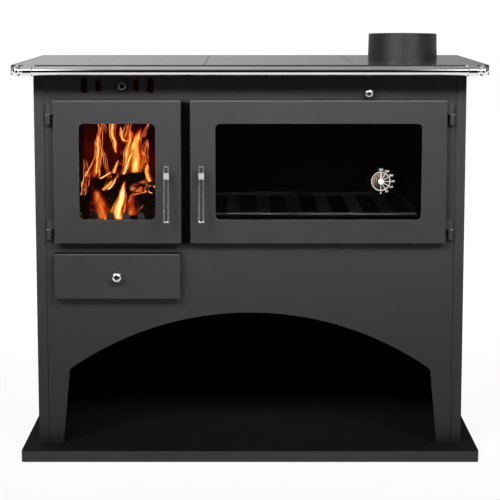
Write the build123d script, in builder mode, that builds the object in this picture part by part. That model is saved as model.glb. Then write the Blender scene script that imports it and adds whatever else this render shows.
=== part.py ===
"""A wood cookstove: firebox and oven behind glazed doors, a steel hob and an open wood store.

Millimetres. X runs to the right, Y to the back and Z up. The origin is on the floor under the
middle of the stove. Heights of the doors and the ash drawer hang from the hob's top.
"""

import os
from math import cos, radians, sin

from build123d import *

os.makedirs("parts", exist_ok=True)

# --- Driving dimensions -------------------------------------------------------------------------

# Hob
hob_height = 850
hob_overhang = 39
hob_front_overhang = 62
hob_back_overhang = 15
hob_corner_radius = 4
hob_edge_height = 20.5
hob_edge_sheet = 3
hob_ledge_sheet = 3
hob_ledge_back = 27
hob_plate_thickness = 6
hob_plate_gap = 0.5
hob_seam = 1.2
left_plate_width = 403
right_plate_width = 281
seat_width = 6
seat_clearance = 0.5
ring_inset = 242
ring_setback = 295
ring_radius = 110
ring_lid_radius = 60
cleaning_lid_spacing = 185
cleaning_lid_radius = 93
lid_slot_length = 26
lid_slot_width = 8
lid_slot_depth = 2

# Flue collar: takes a pipe of 150 mm outside diameter
flue_inset = 144
flue_back_inset = 140
flue_bore_radius = 75.6
flue_wall = 4.4
flue_top_wall = 3
flue_rise = 54.5
flue_flange_width = 12
flue_flange_thickness = 4
flue_bolt_count = 4
flue_bolt_angle = 45
flue_bolt_head_radius = 5
flue_bolt_head_height = 4

# Towel rail
rail_radius = 9.5
rail_wall = 1.5
rail_drop = 12
rail_reach = 24
sleeve_radius = 12
sleeve_inset = 47
sleeve_length = 22
sleeve_inner_chamfer = 1
sleeve_outer_chamfer = 2
rail_insertion = 14
rail_neck_length = 3
rail_neck_radius = 8
rail_ball_radius = 11
rail_stud_radius = 5

# Body
body_width = 920
body_depth = 483
panel_sheet = 2
back_sheet = 1.5
corner_flange = 22
rear_flange = 20
seam_gap = 1
joggle_width = 18
back_screw_radius = 4
back_screw_height = 2.5
back_screw_chamfer = 0.8
back_screw_inset = 10
back_screw_end_inset = 30
back_screw_count = 5

# Base
base_overhang = 31
base_front_reach = 3
base_back_reach = 8
base_height = 24
base_sheet = 2
base_lip = 16
base_corner = 6

# Arched mouth of the wood store
arch_foot_inset = 53
arch_kink_inset = 69
arch_kink_rise = 165
arch_margin = 35
roof_margin = 16
roof_sheet = 1.5

# Doors
door_drop = 76
door_height = 305
door_depth = 25
door_sheet = 3
door_back_gap = 1.5
door_hinge_gap = 12
hinge_inset = 31
fire_door_width = 270
door_gap = 20.4
seal_offset = 7
seal_width = 6
seal_channel_wall = 1.5
seal_channel_depth = 17
seal_depth = 10.7
glass_thickness = 4
glass_overlap = 10
clip_width = 20
clip_foot = 5
clip_edge_gap = 1
clip_sheet = 1.5
clip_spacing = 50
window_radius = 10

door_opening_inset = 20
fire_window_left_rail = 54
fire_window_right_rail = 54
window_bottom_rail = 50.5
window_top_rail = 49.5
oven_window_left_rail = 53
oven_window_right_rail = 52.5

# Hinges
hinge_radius = 6.4
hinge_pin_radius = 3.5
hinge_pin_clearance = 0.05
hinge_stand_off = 1.1
hinge_foot_width = 8
knuckle_height = 21
washer_thickness = 1.2
washer_clearance = 0.1
washer_radius = 6.9
hinge_web = 5
top_hinge_drop = 32
bottom_hinge_rise = 27
pin_reach = 16
pin_end_gap = 1

# Handles and latches
fire_handle_inset = 30
oven_handle_inset = 23.6
handle_height = 146
handle_above = 22
handle_below = 98
handle_top_width = 11.4
handle_bottom_width = 12.6
handle_thickness = 5
handle_stand_off = 22
handle_tilt = 6
handle_bar = 2.5
handle_hub_half = 6
handle_hub_radius = 5.5
handle_gap = 0.5
spindle_radius = 4
spindle_clearance = 0.06
boss_radius = 6.5
boss_depth = 14
latch_thickness = 4
latch_behind = 3
latch_clearance = 1.6

# Thermometer on the oven door's glass
thermometer_inset = 86.5
thermometer_drop = 122.5
dial_radius = 31
dial_thickness = 1.2
dial_stem_radius = 3
dial_stem_clearance = 0.3
dial_nut_radius = 6
dial_nut_height = 3
coil_radius = 20.5
coil_ring_width = 2.4
coil_ring_count = 3
coil_ring_pitch = 4.6
coil_height = 2
pointer_length = 17
pointer_width = 2.6
pointer_thickness = 0.8
pointer_clearance = 0.05
pointer_lift = 0.4
hub_radius = 6.2
hub_height = 1.4

# Ash drawer
drawer_gap = 23
drawer_height = 97
drawer_width = 268
drawer_left_reach = 1
drawer_opening_inset = 14
drawer_opening_bottom = 8
drawer_pan_clearance = 2
drawer_pan_back_gap = 25
drawer_pan_drop = 8
drawer_sheet = 1.5
drawer_back_gap = 0.3
drawer_rise = 1.5
runner_width = 10
runner_clearance = 0.3
chamber_sheet = 2
chamber_side_gap = 2
chamber_floor_drop = 5
chamber_back_room = 98.5

# Firebox
firebox_sheet = 3
firebox_side_margin = 12
firebox_back_room = 68.5
firebox_floor_drop = 4
brick_thickness = 25
brick_height = 275
brick_front_gap = 19
brick_joint = 0.6
brick_chamfer = 3
grate_side_gap = 12
grate_end_gap = 51
grate_thickness = 14
grate_lap = 12
grate_slot_width = 9
grate_slot_pitch = 18
grate_slot_count = 8
grate_slot_margin = 22
guard_thickness = 4
guard_setback = 13
guard_height = 66
guard_tooth_height = 24
guard_tooth_margin = 1.75
guard_tooth_count = 6
guard_tooth_top = 11
guard_tooth_foot = 20
guard_tooth_radius = 2.5
guard_side_gap = 5.5

# Oven
oven_opening_left_inset = 16.6
oven_opening_right_inset = 42
oven_sheet = 2
sheet_seam = 0.2
oven_back_room = 53.5
tray_side_gap = 17
tray_front_gap = 22
tray_back_gap = 17
tray_sheet = 1.6
tray_wall = 12
tray_rise = 25
tray_rib_pitch = 68
tray_rib_width = 34
tray_rib_height = 4
tray_rib_slope = 3
tray_rim_radius = 4.2
tray_rim_end_radius = 1.4
tray_runner_lap = 6
tray_clearance = 0.3
smoke_floor_drop = 25
smoke_floor_sheet = 2

# Damper
damper_flue_offset = 103
damper_drop = 62
baffle_flue_offset = 157
baffle_flue_spacing = 102
baffle_sheet = 2
damper_port_radius = 24
damper_plate_radius = 30
damper_plate_thickness = 3
damper_rod_radius = 4
control_clearance = 0.3

# Air control
air_slot_drop = 46.5
air_slot_width = 13.5
air_outer_slot_length = 32.6
air_inner_slot_length = 26
air_outer_slot_offset = 70.5
air_inner_slot_offset = 40.2
air_knob_offset = 11.5
air_travel = 16
air_stem_radius = 3.6
air_slide_margin = 9
air_slide_height = 45
air_slide_sheet = 1.5
air_guide_height = 8
air_guide_lip = 3

# Knobs
knob_foot_radius = 6
knob_foot_length = 3
knob_neck_radius = 3.6
knob_neck_length = 5
knob_head_length = 12
knob_face_share = 0.68
knob_gap = 2
air_knob_radius = 10
damper_knob_radius = 9.5
drawer_knob_radius = 11

# --- Places worked out from them ----------------------------------------------------------------

body_side = body_width / 2
hob_side = body_side + hob_overhang
hob_depth = hob_front_overhang + body_depth + hob_back_overhang
hob_front = rail_reach - (hob_depth + rail_reach) / 2
hob_back = hob_front + hob_depth
hob_under = hob_height - hob_plate_thickness
body_top = hob_under - hob_ledge_sheet
body_front = hob_front + hob_front_overhang
body_back = body_front + body_depth
panel_rear = body_front + panel_sheet
lining_front = panel_rear + panel_sheet
back_inner = body_back - back_sheet
lining_back = back_inner - panel_sheet
lining_side = body_side - panel_sheet

base_side = body_side + base_overhang
base_front = hob_front - base_front_reach
base_back = body_back + base_back_reach

hinge_x = body_side - hinge_inset
hinge_y = body_front - hinge_stand_off - hinge_radius
door_face = body_front - door_depth
door_rear = body_front - door_back_gap
door_inner = door_face + door_sheet
door_top = hob_height - door_drop
door_bottom = door_top - door_height
fire_left = -hinge_x + door_hinge_gap
fire_right = fire_left + fire_door_width
oven_left = fire_right + door_gap
oven_right = hinge_x - door_hinge_gap

openings_bottom = door_bottom + door_opening_inset
openings_top = door_top - door_opening_inset
fire_opening = (fire_left + door_opening_inset, fire_right - door_opening_inset,
                openings_bottom, openings_top)
fire_window = (fire_left + fire_window_left_rail, fire_right - fire_window_right_rail,
               door_bottom + window_bottom_rail, door_top - window_top_rail)
oven_opening = (oven_left + oven_opening_left_inset, oven_right - oven_opening_right_inset,
                openings_bottom, openings_top)
oven_window = (oven_left + oven_window_left_rail, oven_right - oven_window_right_rail,
               door_bottom + window_bottom_rail, door_top - window_top_rail)

drawer_left = fire_left - drawer_left_reach
drawer_right = drawer_left + drawer_width
drawer_top = door_bottom - drawer_gap
drawer_bottom = drawer_top - drawer_height
drawer_opening = (drawer_left + drawer_opening_inset, drawer_right - drawer_opening_inset,
                  drawer_bottom + drawer_opening_bottom, drawer_top - drawer_opening_bottom)
arch_top = drawer_bottom - arch_margin
arch_foot = body_side - arch_foot_inset
arch_kink = body_side - arch_kink_inset
roof_height = arch_top + roof_margin

firebox_left = fire_opening[0] - firebox_side_margin - firebox_sheet
firebox_right = fire_opening[1] + firebox_side_margin
firebox_floor = door_bottom - firebox_floor_drop
firebox_bottom = firebox_floor - firebox_sheet
firebox_back = lining_back - firebox_back_room
firebox_mid = (firebox_left + firebox_right) / 2

oven_outer_top = oven_opening[3] + oven_sheet
oven_back = lining_back - oven_back_room
oven_mid = (oven_opening[0] + oven_opening[1]) / 2
smoke_floor = oven_opening[2] - smoke_floor_drop - smoke_floor_sheet

left_seam_x = left_plate_width - hob_side
right_seam_x = hob_side - right_plate_width
ring_x = ring_inset - hob_side
ring_y = hob_front + ring_setback
flue_x = hob_side - flue_inset
flue_y = hob_back - flue_back_inset
cleaning_lid_y = flue_y - cleaning_lid_spacing
sleeve_inner_end = hob_side - sleeve_inset
rail_y = hob_front - rail_reach + sleeve_radius
rail_z = hob_height - rail_drop

damper_x = flue_x - damper_flue_offset
damper_z = hob_height - damper_drop
baffle_left_x = flue_x - baffle_flue_offset
baffle_y = flue_y - baffle_flue_spacing
air_slot_x = (fire_left + fire_right) / 2
air_z = hob_height - air_slot_drop
air_knob_x = air_slot_x + air_knob_offset
handle_z = door_bottom + handle_height


# --- Helpers ------------------------------------------------------------------------------------

def facing(y):
    """The upright plane at depth y: x to the right, y upwards, its normal to the front."""
    return Plane.XZ.offset(-y)


def level(z):
    """The horizontal plane at height z."""
    return Plane.XY.offset(z)


def across(x):
    """The upright plane at x: its x runs to the back, its y upwards, its normal to the right."""
    return Plane.YZ.offset(x)


def panel(left, right, low, high, radius=0, mode=Mode.ADD):
    """A rectangle between two sides and two heights, for the sketch that is being drawn."""
    with Locations(((left + right) / 2, (low + high) / 2)):
        if radius:
            RectangleRounded(right - left, high - low, radius, mode=mode)
        else:
            Rectangle(right - left, high - low, mode=mode)


def box_sheets(outline, bottom, top, thickness, roofed):
    """The flat sheets of a box open at the front, as (rectangle, bottom, top), a seam between them."""
    left, right, front, back = outline
    wall_bottom = bottom + thickness + sheet_seam
    wall_top = top - thickness - sheet_seam if roofed else top
    wall = thickness + sheet_seam
    sheets = [(outline, bottom, bottom + thickness),
              ((left, left + thickness, front, back), wall_bottom, wall_top),
              ((right - thickness, right, front, back), wall_bottom, wall_top),
              ((left + wall, right - wall, back - thickness, back), wall_bottom, wall_top)]
    if roofed:
        sheets.append((outline, top - thickness, top))
    return sheets


def widen(edges, amount):
    """The rectangle (left, right, low, high) grown by an amount on every side."""
    return edges[0] - amount, edges[1] + amount, edges[2] - amount, edges[3] + amount


def save(piece, node):
    """Labels a finished piece and writes it."""
    piece.part.label = node
    export_step(piece.part, f"parts/{node}.step")


# --- Base and body ------------------------------------------------------------------------------

with BuildPart() as base_plate:
    with BuildSketch(level(0)):
        panel(-base_side, base_side, base_front, base_back, base_corner)
    extrude(amount=base_height)
    offset(amount=-base_sheet, openings=base_plate.faces().sort_by(Axis.Z)[0])
    with BuildSketch(level(0)):
        panel(-base_side, base_side, base_front, base_back, base_corner)
        panel(base_lip - base_side, base_side - base_lip, base_front + base_lip, base_back - base_lip,
              mode=Mode.SUBTRACT)
    extrude(amount=base_sheet)
save(base_plate, "base_plate")


def side_panel(side):
    """A side sheet folded round the front corner, with a joggle behind the front panel's seam."""
    flange = body_side - corner_flange
    outline = [
        (flange + seam_gap / 2, body_front), (body_side, body_front), (body_side, back_inner),
        (body_side - rear_flange, back_inner), (body_side - rear_flange, lining_back),
        (lining_side, lining_back), (lining_side, panel_rear),
        (flange + 2 * panel_sheet, panel_rear), (flange + 2 * panel_sheet, lining_front),
        (flange - joggle_width, lining_front), (flange - joggle_width, panel_rear),
        (flange + seam_gap / 2, panel_rear),
    ]
    with BuildPart() as sheet:
        with BuildSketch(level(base_height)):
            with BuildLine():
                Polyline(*[(side * x, y) for x, y in outline], close=True)
            make_face()
        extrude(amount=body_top - base_height)
    return sheet


side_panel_left = side_panel(-1)
save(side_panel_left, "side_panel_left")
side_panel_right = side_panel(1)
save(side_panel_right, "side_panel_right")

front_half_width = body_side - corner_flange - seam_gap / 2
with BuildPart() as front_rails:
    with BuildSketch(facing(body_front)):
        panel(-front_half_width, front_half_width, openings_top, body_top)
        panel(-front_half_width, front_half_width, drawer_opening[3], openings_bottom)
        for offset_x, length in ((air_outer_slot_offset, air_outer_slot_length),
                                 (air_inner_slot_offset, air_inner_slot_length)):
            with Locations((air_slot_x - offset_x, air_z), (air_slot_x + offset_x, air_z)):
                SlotOverall(length, air_slot_width, rotation=90, mode=Mode.SUBTRACT)
        stem_hole = 2 * (air_stem_radius + control_clearance)
        with Locations((air_knob_x - air_travel / 2, air_z)):
            SlotOverall(air_travel + stem_hole, stem_hole, mode=Mode.SUBTRACT)
        with Locations((damper_x, damper_z)):
            Circle(damper_rod_radius + control_clearance, mode=Mode.SUBTRACT)
    extrude(amount=-panel_sheet)
save(front_rails, "front_rails")

with BuildPart() as front_posts:
    with BuildSketch(facing(body_front)):
        for left, right in ((-front_half_width, fire_opening[0]), (fire_opening[1], oven_opening[0]),
                            (oven_opening[1], front_half_width)):
            panel(left, right, openings_bottom, openings_top)
        for left, right in ((-front_half_width, drawer_opening[0]), (drawer_opening[1], front_half_width)):
            panel(left, right, drawer_opening[2], drawer_opening[3])
    extrude(amount=-panel_sheet)
save(front_posts, "front_posts")


def arch_panel(side):
    """One half of the sheet below the drawer, with its half of the wood store's arch."""
    kink_z = base_height + arch_kink_rise
    with BuildPart() as half:
        with BuildSketch(facing(body_front)):
            with BuildLine():
                Polyline((side * arch_foot, base_height), (side * front_half_width, base_height),
                         (side * front_half_width, drawer_opening[2]), (0, drawer_opening[2]), (0, arch_top))
                RadiusArc((0, arch_top), (side * arch_kink, kink_z), side * arch_radius)
                Line((side * arch_kink, kink_z), (side * arch_foot, base_height))
            make_face()
        extrude(amount=-panel_sheet)
    return half


arch_rise = arch_top - base_height - arch_kink_rise
arch_radius = (arch_kink ** 2 + arch_rise ** 2) / (2 * arch_rise)
save(arch_panel(-1), "arch_panel_left")
save(arch_panel(1), "arch_panel_right")

with BuildPart() as back_panel:
    with BuildSketch(facing(body_back)):
        panel(-lining_side, lining_side, base_height, body_top)
    extrude(amount=back_sheet)
save(back_panel, "back_panel")

back_screw_pitch = (body_top - base_height - 2 * back_screw_end_inset) / (back_screw_count - 1)
with BuildPart() as back_screws:
    with BuildSketch(facing(body_back)):
        with Locations((0, (base_height + body_top) / 2)):
            with GridLocations(body_width - 2 * back_screw_inset, back_screw_pitch, 2, back_screw_count):
                Circle(back_screw_radius)
    extrude(amount=-back_screw_height)
    chamfer(back_screws.edges().group_by(Axis.Y)[-1], back_screw_chamfer)
save(back_screws, "back_screws")

with BuildPart() as wood_store_roof:
    with BuildSketch(level(roof_height)):
        panel(-lining_side, lining_side, lining_front, lining_back)
    extrude(amount=roof_sheet)
save(wood_store_roof, "wood_store_roof")

# --- Hob ----------------------------------------------------------------------------------------

hob_outline = (-hob_side, hob_side, hob_front, hob_back)
ledge_half_width = body_side - corner_flange / 2
ledge_front = body_front + corner_flange / 2
ledge_back = hob_back - hob_ledge_back
with BuildPart() as hob_frame:
    with BuildSketch(level(hob_height)):
        panel(*hob_outline, hob_corner_radius)
        panel(*widen(hob_outline, -hob_edge_sheet), hob_corner_radius - hob_edge_sheet, mode=Mode.SUBTRACT)
    extrude(amount=-hob_edge_height)
    with BuildSketch(level(body_top)):
        panel(*widen(hob_outline, -hob_edge_sheet), hob_corner_radius - hob_edge_sheet)
        panel(-ledge_half_width, ledge_half_width, ledge_front, ledge_back, mode=Mode.SUBTRACT)
    extrude(amount=hob_ledge_sheet)
save(hob_frame, "hob_frame")


def hob_plate(left, right, seats=(), bores=()):
    """A hob plate with stepped seats for lids (x, y, radius) and plain bores (x, y, radius)."""
    with BuildPart() as plate:
        with BuildSketch(level(hob_under)):
            panel(left, right, plate_front, plate_back)
        extrude(amount=hob_plate_thickness)
        for x, y, radius in seats:
            with BuildSketch(level(hob_under)):
                with Locations((x, y)):
                    Circle(radius - seat_width)
            extrude(amount=hob_plate_thickness, mode=Mode.SUBTRACT)
            with BuildSketch(level(hob_height)):
                with Locations((x, y)):
                    Circle(radius + seat_clearance)
            extrude(amount=-hob_plate_thickness / 2, mode=Mode.SUBTRACT)
        for x, y, radius in bores:
            with BuildSketch(level(hob_under)):
                with Locations((x, y)):
                    Circle(radius)
            extrude(amount=hob_plate_thickness, mode=Mode.SUBTRACT)
    return plate


plate_edge = hob_side - hob_edge_sheet - hob_plate_gap
plate_front = hob_front + hob_edge_sheet + hob_plate_gap
plate_back = hob_back - hob_edge_sheet - hob_plate_gap
flue_outer_radius = flue_bore_radius + flue_wall

hob_plate_left = hob_plate(-plate_edge, left_seam_x - hob_seam / 2, seats=[(ring_x, ring_y, ring_radius)])
save(hob_plate_left, "hob_plate_left")
hob_plate_middle = hob_plate(left_seam_x + hob_seam / 2, right_seam_x - hob_seam / 2)
save(hob_plate_middle, "hob_plate_middle")
hob_plate_right = hob_plate(right_seam_x + hob_seam / 2, plate_edge,
                            seats=[(flue_x, cleaning_lid_y, cleaning_lid_radius)],
                            bores=[(flue_x, flue_y, flue_outer_radius + seat_clearance)])
save(hob_plate_right, "hob_plate_right")


def hob_lid(x, y, radius, inner_radius=0, slot=True):
    """A stepped round lid, or with an inner radius a ring that holds a smaller lid."""
    with BuildPart() as lid:
        with BuildSketch(level(hob_height - hob_plate_thickness / 2)):
            with Locations((x, y)):
                Circle(radius)
        extrude(amount=hob_plate_thickness / 2)
        with BuildSketch(level(hob_under)):
            with Locations((x, y)):
                Circle(radius - seat_width - seat_clearance)
        extrude(amount=hob_plate_thickness / 2)
        if inner_radius:
            with BuildSketch(level(hob_under)):
                with Locations((x, y)):
                    Circle(inner_radius - seat_width)
            extrude(amount=hob_plate_thickness, mode=Mode.SUBTRACT)
            with BuildSketch(level(hob_height)):
                with Locations((x, y)):
                    Circle(inner_radius + seat_clearance)
            extrude(amount=-hob_plate_thickness / 2, mode=Mode.SUBTRACT)
        if slot:
            with BuildSketch(level(hob_height)):
                with Locations((x, y - radius / 2)):
                    SlotOverall(lid_slot_length, lid_slot_width)
            extrude(amount=-lid_slot_depth, mode=Mode.SUBTRACT)
    return lid


cooking_ring = hob_lid(ring_x, ring_y, ring_radius, inner_radius=ring_lid_radius, slot=False)
save(cooking_ring, "cooking_ring")
ring_lid = hob_lid(ring_x, ring_y, ring_lid_radius)
save(ring_lid, "ring_lid")
cleaning_lid = hob_lid(flue_x, cleaning_lid_y, cleaning_lid_radius)
save(cleaning_lid, "cleaning_lid")

flange_radius = flue_outer_radius + flue_flange_width
with BuildPart() as flue_collar:
    with BuildSketch(facing(flue_y)):
        with BuildLine():
            Polyline(
                (flue_x + flue_bore_radius, hob_under - flue_flange_thickness),
                (flue_x + flange_radius, hob_under - flue_flange_thickness),
                (flue_x + flange_radius, hob_under),
                (flue_x + flue_outer_radius, hob_under),
                (flue_x + flue_outer_radius, hob_height),
                (flue_x + flue_bore_radius + flue_top_wall, hob_height + flue_rise),
                (flue_x + flue_bore_radius, hob_height + flue_rise),
                close=True,
            )
        make_face()
    revolve(axis=Axis((flue_x, flue_y, 0), (0, 0, 1)))
save(flue_collar, "flue_collar")

with BuildPart() as flue_collar_bolts:
    with BuildSketch(level(hob_under - flue_flange_thickness)):
        with Locations((flue_x, flue_y)):
            with PolarLocations(flue_outer_radius + flue_flange_width / 2, flue_bolt_count,
                                start_angle=flue_bolt_angle):
                RegularPolygon(flue_bolt_head_radius, 6)
    extrude(amount=-flue_bolt_head_height)
save(flue_collar_bolts, "flue_collar_bolts")

# --- Towel rail ---------------------------------------------------------------------------------

rail_half_length = sleeve_inner_end + rail_insertion
with BuildPart() as rail_tube:
    with BuildSketch(across(-rail_half_length)):
        with Locations((rail_y, rail_z)):
            Circle(rail_radius)
            Circle(rail_radius - rail_wall, mode=Mode.SUBTRACT)
    extrude(amount=2 * rail_half_length)
save(rail_tube, "rail_tube")

rail_axis = Axis((0, rail_y, rail_z), (1, 0, 0))
with BuildPart() as rail_fittings:
    sleeve_end = sleeve_inner_end + sleeve_length
    neck_end = sleeve_end + rail_neck_length
    ball_x = neck_end + (rail_ball_radius ** 2 - rail_neck_radius ** 2) ** 0.5
    with BuildSketch(Plane(origin=(0, rail_y, rail_z), x_dir=(1, 0, 0), z_dir=(0, -1, 0))):
        with BuildLine():
            Polyline((rail_half_length, 0), (rail_half_length, rail_radius),
                     (sleeve_inner_end, rail_radius),
                     (sleeve_inner_end, sleeve_radius - sleeve_inner_chamfer),
                     (sleeve_inner_end + sleeve_inner_chamfer, sleeve_radius),
                     (sleeve_end - sleeve_outer_chamfer, sleeve_radius),
                     (sleeve_end, sleeve_radius - sleeve_outer_chamfer), (sleeve_end, rail_neck_radius),
                     (ball_x, rail_neck_radius), (ball_x, 0), close=True)
        make_face()
    revolve(axis=rail_axis)
    with Locations((ball_x, rail_y, rail_z)):
        Sphere(rail_ball_radius)
    with BuildSketch(facing(hob_front)):
        with Locations((ball_x, rail_z)):
            Circle(rail_stud_radius)
    extrude(amount=hob_front - rail_y)
    mirror(about=Plane.YZ)
save(rail_fittings, "rail_fittings")

# --- Ash chamber and firebox --------------------------------------------------------------------

chamber_left = drawer_opening[0] - chamber_side_gap - chamber_sheet
chamber_right = drawer_opening[1] + chamber_side_gap + chamber_sheet
chamber_floor = drawer_opening[2] - chamber_floor_drop
chamber_back = lining_back - chamber_back_room
with BuildPart() as ash_chamber:
    with BuildSketch(level(chamber_floor - chamber_sheet)):
        panel(chamber_left, chamber_right, panel_rear, chamber_back)
    extrude(amount=firebox_bottom - chamber_floor + chamber_sheet)
    offset(amount=-chamber_sheet,
           openings=[ash_chamber.faces().sort_by(Axis.Z)[-1], ash_chamber.faces().sort_by(Axis.Y)[0]])
save(ash_chamber, "ash_chamber")

pan_left = drawer_opening[0] + drawer_pan_clearance
pan_right = drawer_opening[1] - drawer_pan_clearance
pan_bottom = drawer_opening[2] + drawer_rise
pan_top = drawer_opening[3] - drawer_pan_drop
pan_back = chamber_back - drawer_pan_back_gap
with BuildPart() as drawer_runners:
    with BuildSketch(level(chamber_floor)):
        for left in (pan_left + runner_width, pan_right - 2 * runner_width):
            panel(left, left + runner_width, panel_rear, pan_back)
    extrude(amount=pan_bottom - runner_clearance - chamber_floor)
save(drawer_runners, "drawer_runners")

inner_left = firebox_left + firebox_sheet
inner_right = firebox_right - firebox_sheet
brick_front = panel_rear + brick_front_gap
brick_back = firebox_back - firebox_sheet - brick_thickness
brick_mid_y = (brick_front + brick_back) / 2
brick_mid_z = firebox_floor + brick_height / 2
fire_space_left = inner_left + brick_thickness
fire_space_right = inner_right - brick_thickness
grate_outline = (fire_space_left + grate_side_gap, fire_space_right - grate_side_gap,
                 brick_front + grate_end_gap, brick_back - grate_end_gap)
with BuildPart() as firebox_shell:
    with BuildSketch(level(firebox_bottom)):
        panel(firebox_left, firebox_right, panel_rear, firebox_back)
    extrude(amount=body_top - firebox_bottom)
    offset(amount=-firebox_sheet,
           openings=[firebox_shell.faces().sort_by(Axis.Z)[-1], firebox_shell.faces().sort_by(Axis.Y)[0]])
    with BuildSketch(level(oven_outer_top)):
        panel(firebox_right - firebox_sheet, firebox_right, panel_rear, firebox_back - firebox_sheet)
    extrude(amount=body_top - oven_outer_top, mode=Mode.SUBTRACT)
    with BuildSketch(level(firebox_bottom)):
        panel(*widen(grate_outline, -grate_lap))
    extrude(amount=firebox_sheet, mode=Mode.SUBTRACT)
save(firebox_shell, "firebox_shell")

side_brick_length = (brick_back - brick_front - brick_joint) / 2
course_height = (brick_height - brick_joint) / 2
rear_brick_width = (inner_right - inner_left - brick_joint) / 2
brick_pitch_z = course_height + brick_joint
with BuildPart() as firebricks:
    for wall, inwards in ((inner_left, brick_thickness), (inner_right, -brick_thickness)):
        with BuildSketch(across(wall)):
            with Locations((brick_mid_y, brick_mid_z)):
                with GridLocations(side_brick_length + brick_joint, brick_pitch_z, 2, 2):
                    Rectangle(side_brick_length, course_height)
        extrude(amount=inwards)
    with BuildSketch(facing(brick_back + brick_thickness)):
        with Locations((firebox_mid, brick_mid_z)):
            with GridLocations(rear_brick_width + brick_joint, brick_pitch_z, 2, 2):
                Rectangle(rear_brick_width, course_height)
    extrude(amount=brick_thickness - brick_joint)
    inner_faces = firebricks.faces().filter_by(
        lambda face: face.center().X in (fire_space_left, fire_space_right))
    chamfer(inner_faces.edges().filter_by(Axis.Z), brick_chamfer)
save(firebricks, "firebricks")

with BuildPart() as grate:
    with BuildSketch(level(firebox_floor)):
        panel(*grate_outline, grate_lap / 2)
        with Locations((firebox_mid, brick_mid_y)):
            with GridLocations(grate_slot_pitch, grate_slot_pitch, grate_slot_count, 1):
                SlotOverall(grate_outline[3] - grate_outline[2] - 2 * grate_slot_margin, grate_slot_width,
                            rotation=90, mode=Mode.SUBTRACT)
    extrude(amount=grate_thickness)
save(grate, "grate")

guard_y = panel_rear + guard_setback
guard_tip = firebox_floor + guard_height
guard_root = guard_tip - guard_tooth_height
guard_left = fire_space_left + guard_side_gap
guard_right = fire_space_right - guard_side_gap
first_tooth = guard_left + guard_tooth_margin + guard_tooth_foot / 2
last_tooth = guard_right - guard_tooth_margin - guard_tooth_foot / 2
guard_tooth_pitch = (last_tooth - first_tooth) / (guard_tooth_count - 1)
guard_outline = [(guard_left, firebox_floor), (guard_left, guard_root)]
for tooth in range(guard_tooth_count):
    middle = first_tooth + tooth * guard_tooth_pitch
    guard_outline += [(middle - guard_tooth_foot / 2, guard_root), (middle - guard_tooth_top / 2, guard_tip),
                      (middle + guard_tooth_top / 2, guard_tip), (middle + guard_tooth_foot / 2, guard_root)]
guard_outline += [(guard_right, guard_root), (guard_right, firebox_floor)]
with BuildPart() as log_guard:
    with BuildSketch(facing(guard_y)):
        with BuildLine():
            Polyline(*guard_outline, close=True)
        make_face()
    extrude(amount=guard_thickness)
    fillet(log_guard.edges().filter_by(Axis.Y).group_by(Axis.Z)[-1], guard_tooth_radius)
save(log_guard, "log_guard")

# --- Oven and smoke ways ------------------------------------------------------------------------

with BuildPart() as oven_box:
    for edges, low, high in box_sheets(
            (oven_opening[0] - oven_sheet, oven_opening[1] + oven_sheet, panel_rear, oven_back),
            oven_opening[2] - oven_sheet, oven_outer_top, oven_sheet, roofed=True):
        with BuildSketch(level(low)):
            panel(*edges)
        extrude(amount=high - low)
save(oven_box, "oven_box")

tray_front = panel_rear + tray_front_gap
tray_back = oven_back - tray_back_gap
tray_floor = oven_opening[2] + tray_rise + oven_sheet
runner_top = tray_floor - tray_clearance
runner_reach = tray_side_gap + tray_runner_lap
with BuildPart() as oven_runners:
    for wall, side in ((oven_opening[0], 1), (oven_opening[1], -1)):
        with BuildSketch(facing(tray_front)):
            with BuildLine():
                Polyline((wall, runner_top - 2 * oven_sheet),
                         (wall + side * oven_sheet, runner_top - 2 * oven_sheet),
                         (wall + side * oven_sheet, runner_top - oven_sheet),
                         (wall + side * runner_reach, runner_top - oven_sheet),
                         (wall + side * runner_reach, runner_top), (wall, runner_top), close=True)
            make_face()
        extrude(amount=-(tray_back - tray_front))
save(oven_runners, "oven_runners")

tray_left = oven_opening[0] + tray_side_gap
tray_right = oven_opening[1] - tray_side_gap
tray_rib_count = int((tray_right - tray_left) / tray_rib_pitch)


def tray_profile(height):
    """The tray's ribbed floor and upstands from left to right, on its under side or at a height."""
    points = [(tray_left + height, tray_wall), (tray_left + height, height)]
    for rib in range(tray_rib_count):
        centre = oven_mid + (rib - (tray_rib_count - 1) / 2) * tray_rib_pitch
        foot, crest = tray_rib_width / 2, tray_rib_width / 2 - tray_rib_slope
        points += [(centre - foot, height), (centre - crest, height + tray_rib_height),
                   (centre + crest, height + tray_rib_height), (centre + foot, height)]
    points += [(tray_right - height, height), (tray_right - height, tray_wall)]
    return [(x, tray_floor + z) for x, z in points]


with BuildPart() as oven_tray:
    with BuildSketch(facing(tray_front)):
        with BuildLine():
            Polyline(*tray_profile(0), *reversed(tray_profile(tray_sheet)), close=True)
        make_face()
    extrude(amount=-(tray_back - tray_front))
    for wall_front in (tray_front, tray_back - tray_sheet):
        with BuildSketch(facing(wall_front)):
            panel(tray_left + tray_sheet, tray_right - tray_sheet, tray_floor + tray_sheet,
                  tray_floor + tray_wall)
        extrude(amount=-tray_sheet)
save(oven_tray, "oven_tray")

rim_y = tray_front - tray_rim_radius
with BuildPart() as oven_tray_rim:
    with BuildSketch(across(tray_left)):
        with Locations((rim_y, tray_floor + tray_wall - tray_rim_radius / 2)):
            Circle(tray_rim_radius)
    extrude(amount=tray_right - tray_left)
    fillet(oven_tray_rim.edges().filter_by(GeomType.CIRCLE), tray_rim_end_radius)
save(oven_tray_rim, "oven_tray_rim")

with BuildPart() as smoke_floor_plate:
    with BuildSketch(level(smoke_floor)):
        panel(firebox_right, lining_side, lining_front, lining_back)
    extrude(amount=smoke_floor_sheet)
save(smoke_floor_plate, "smoke_floor")

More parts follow.
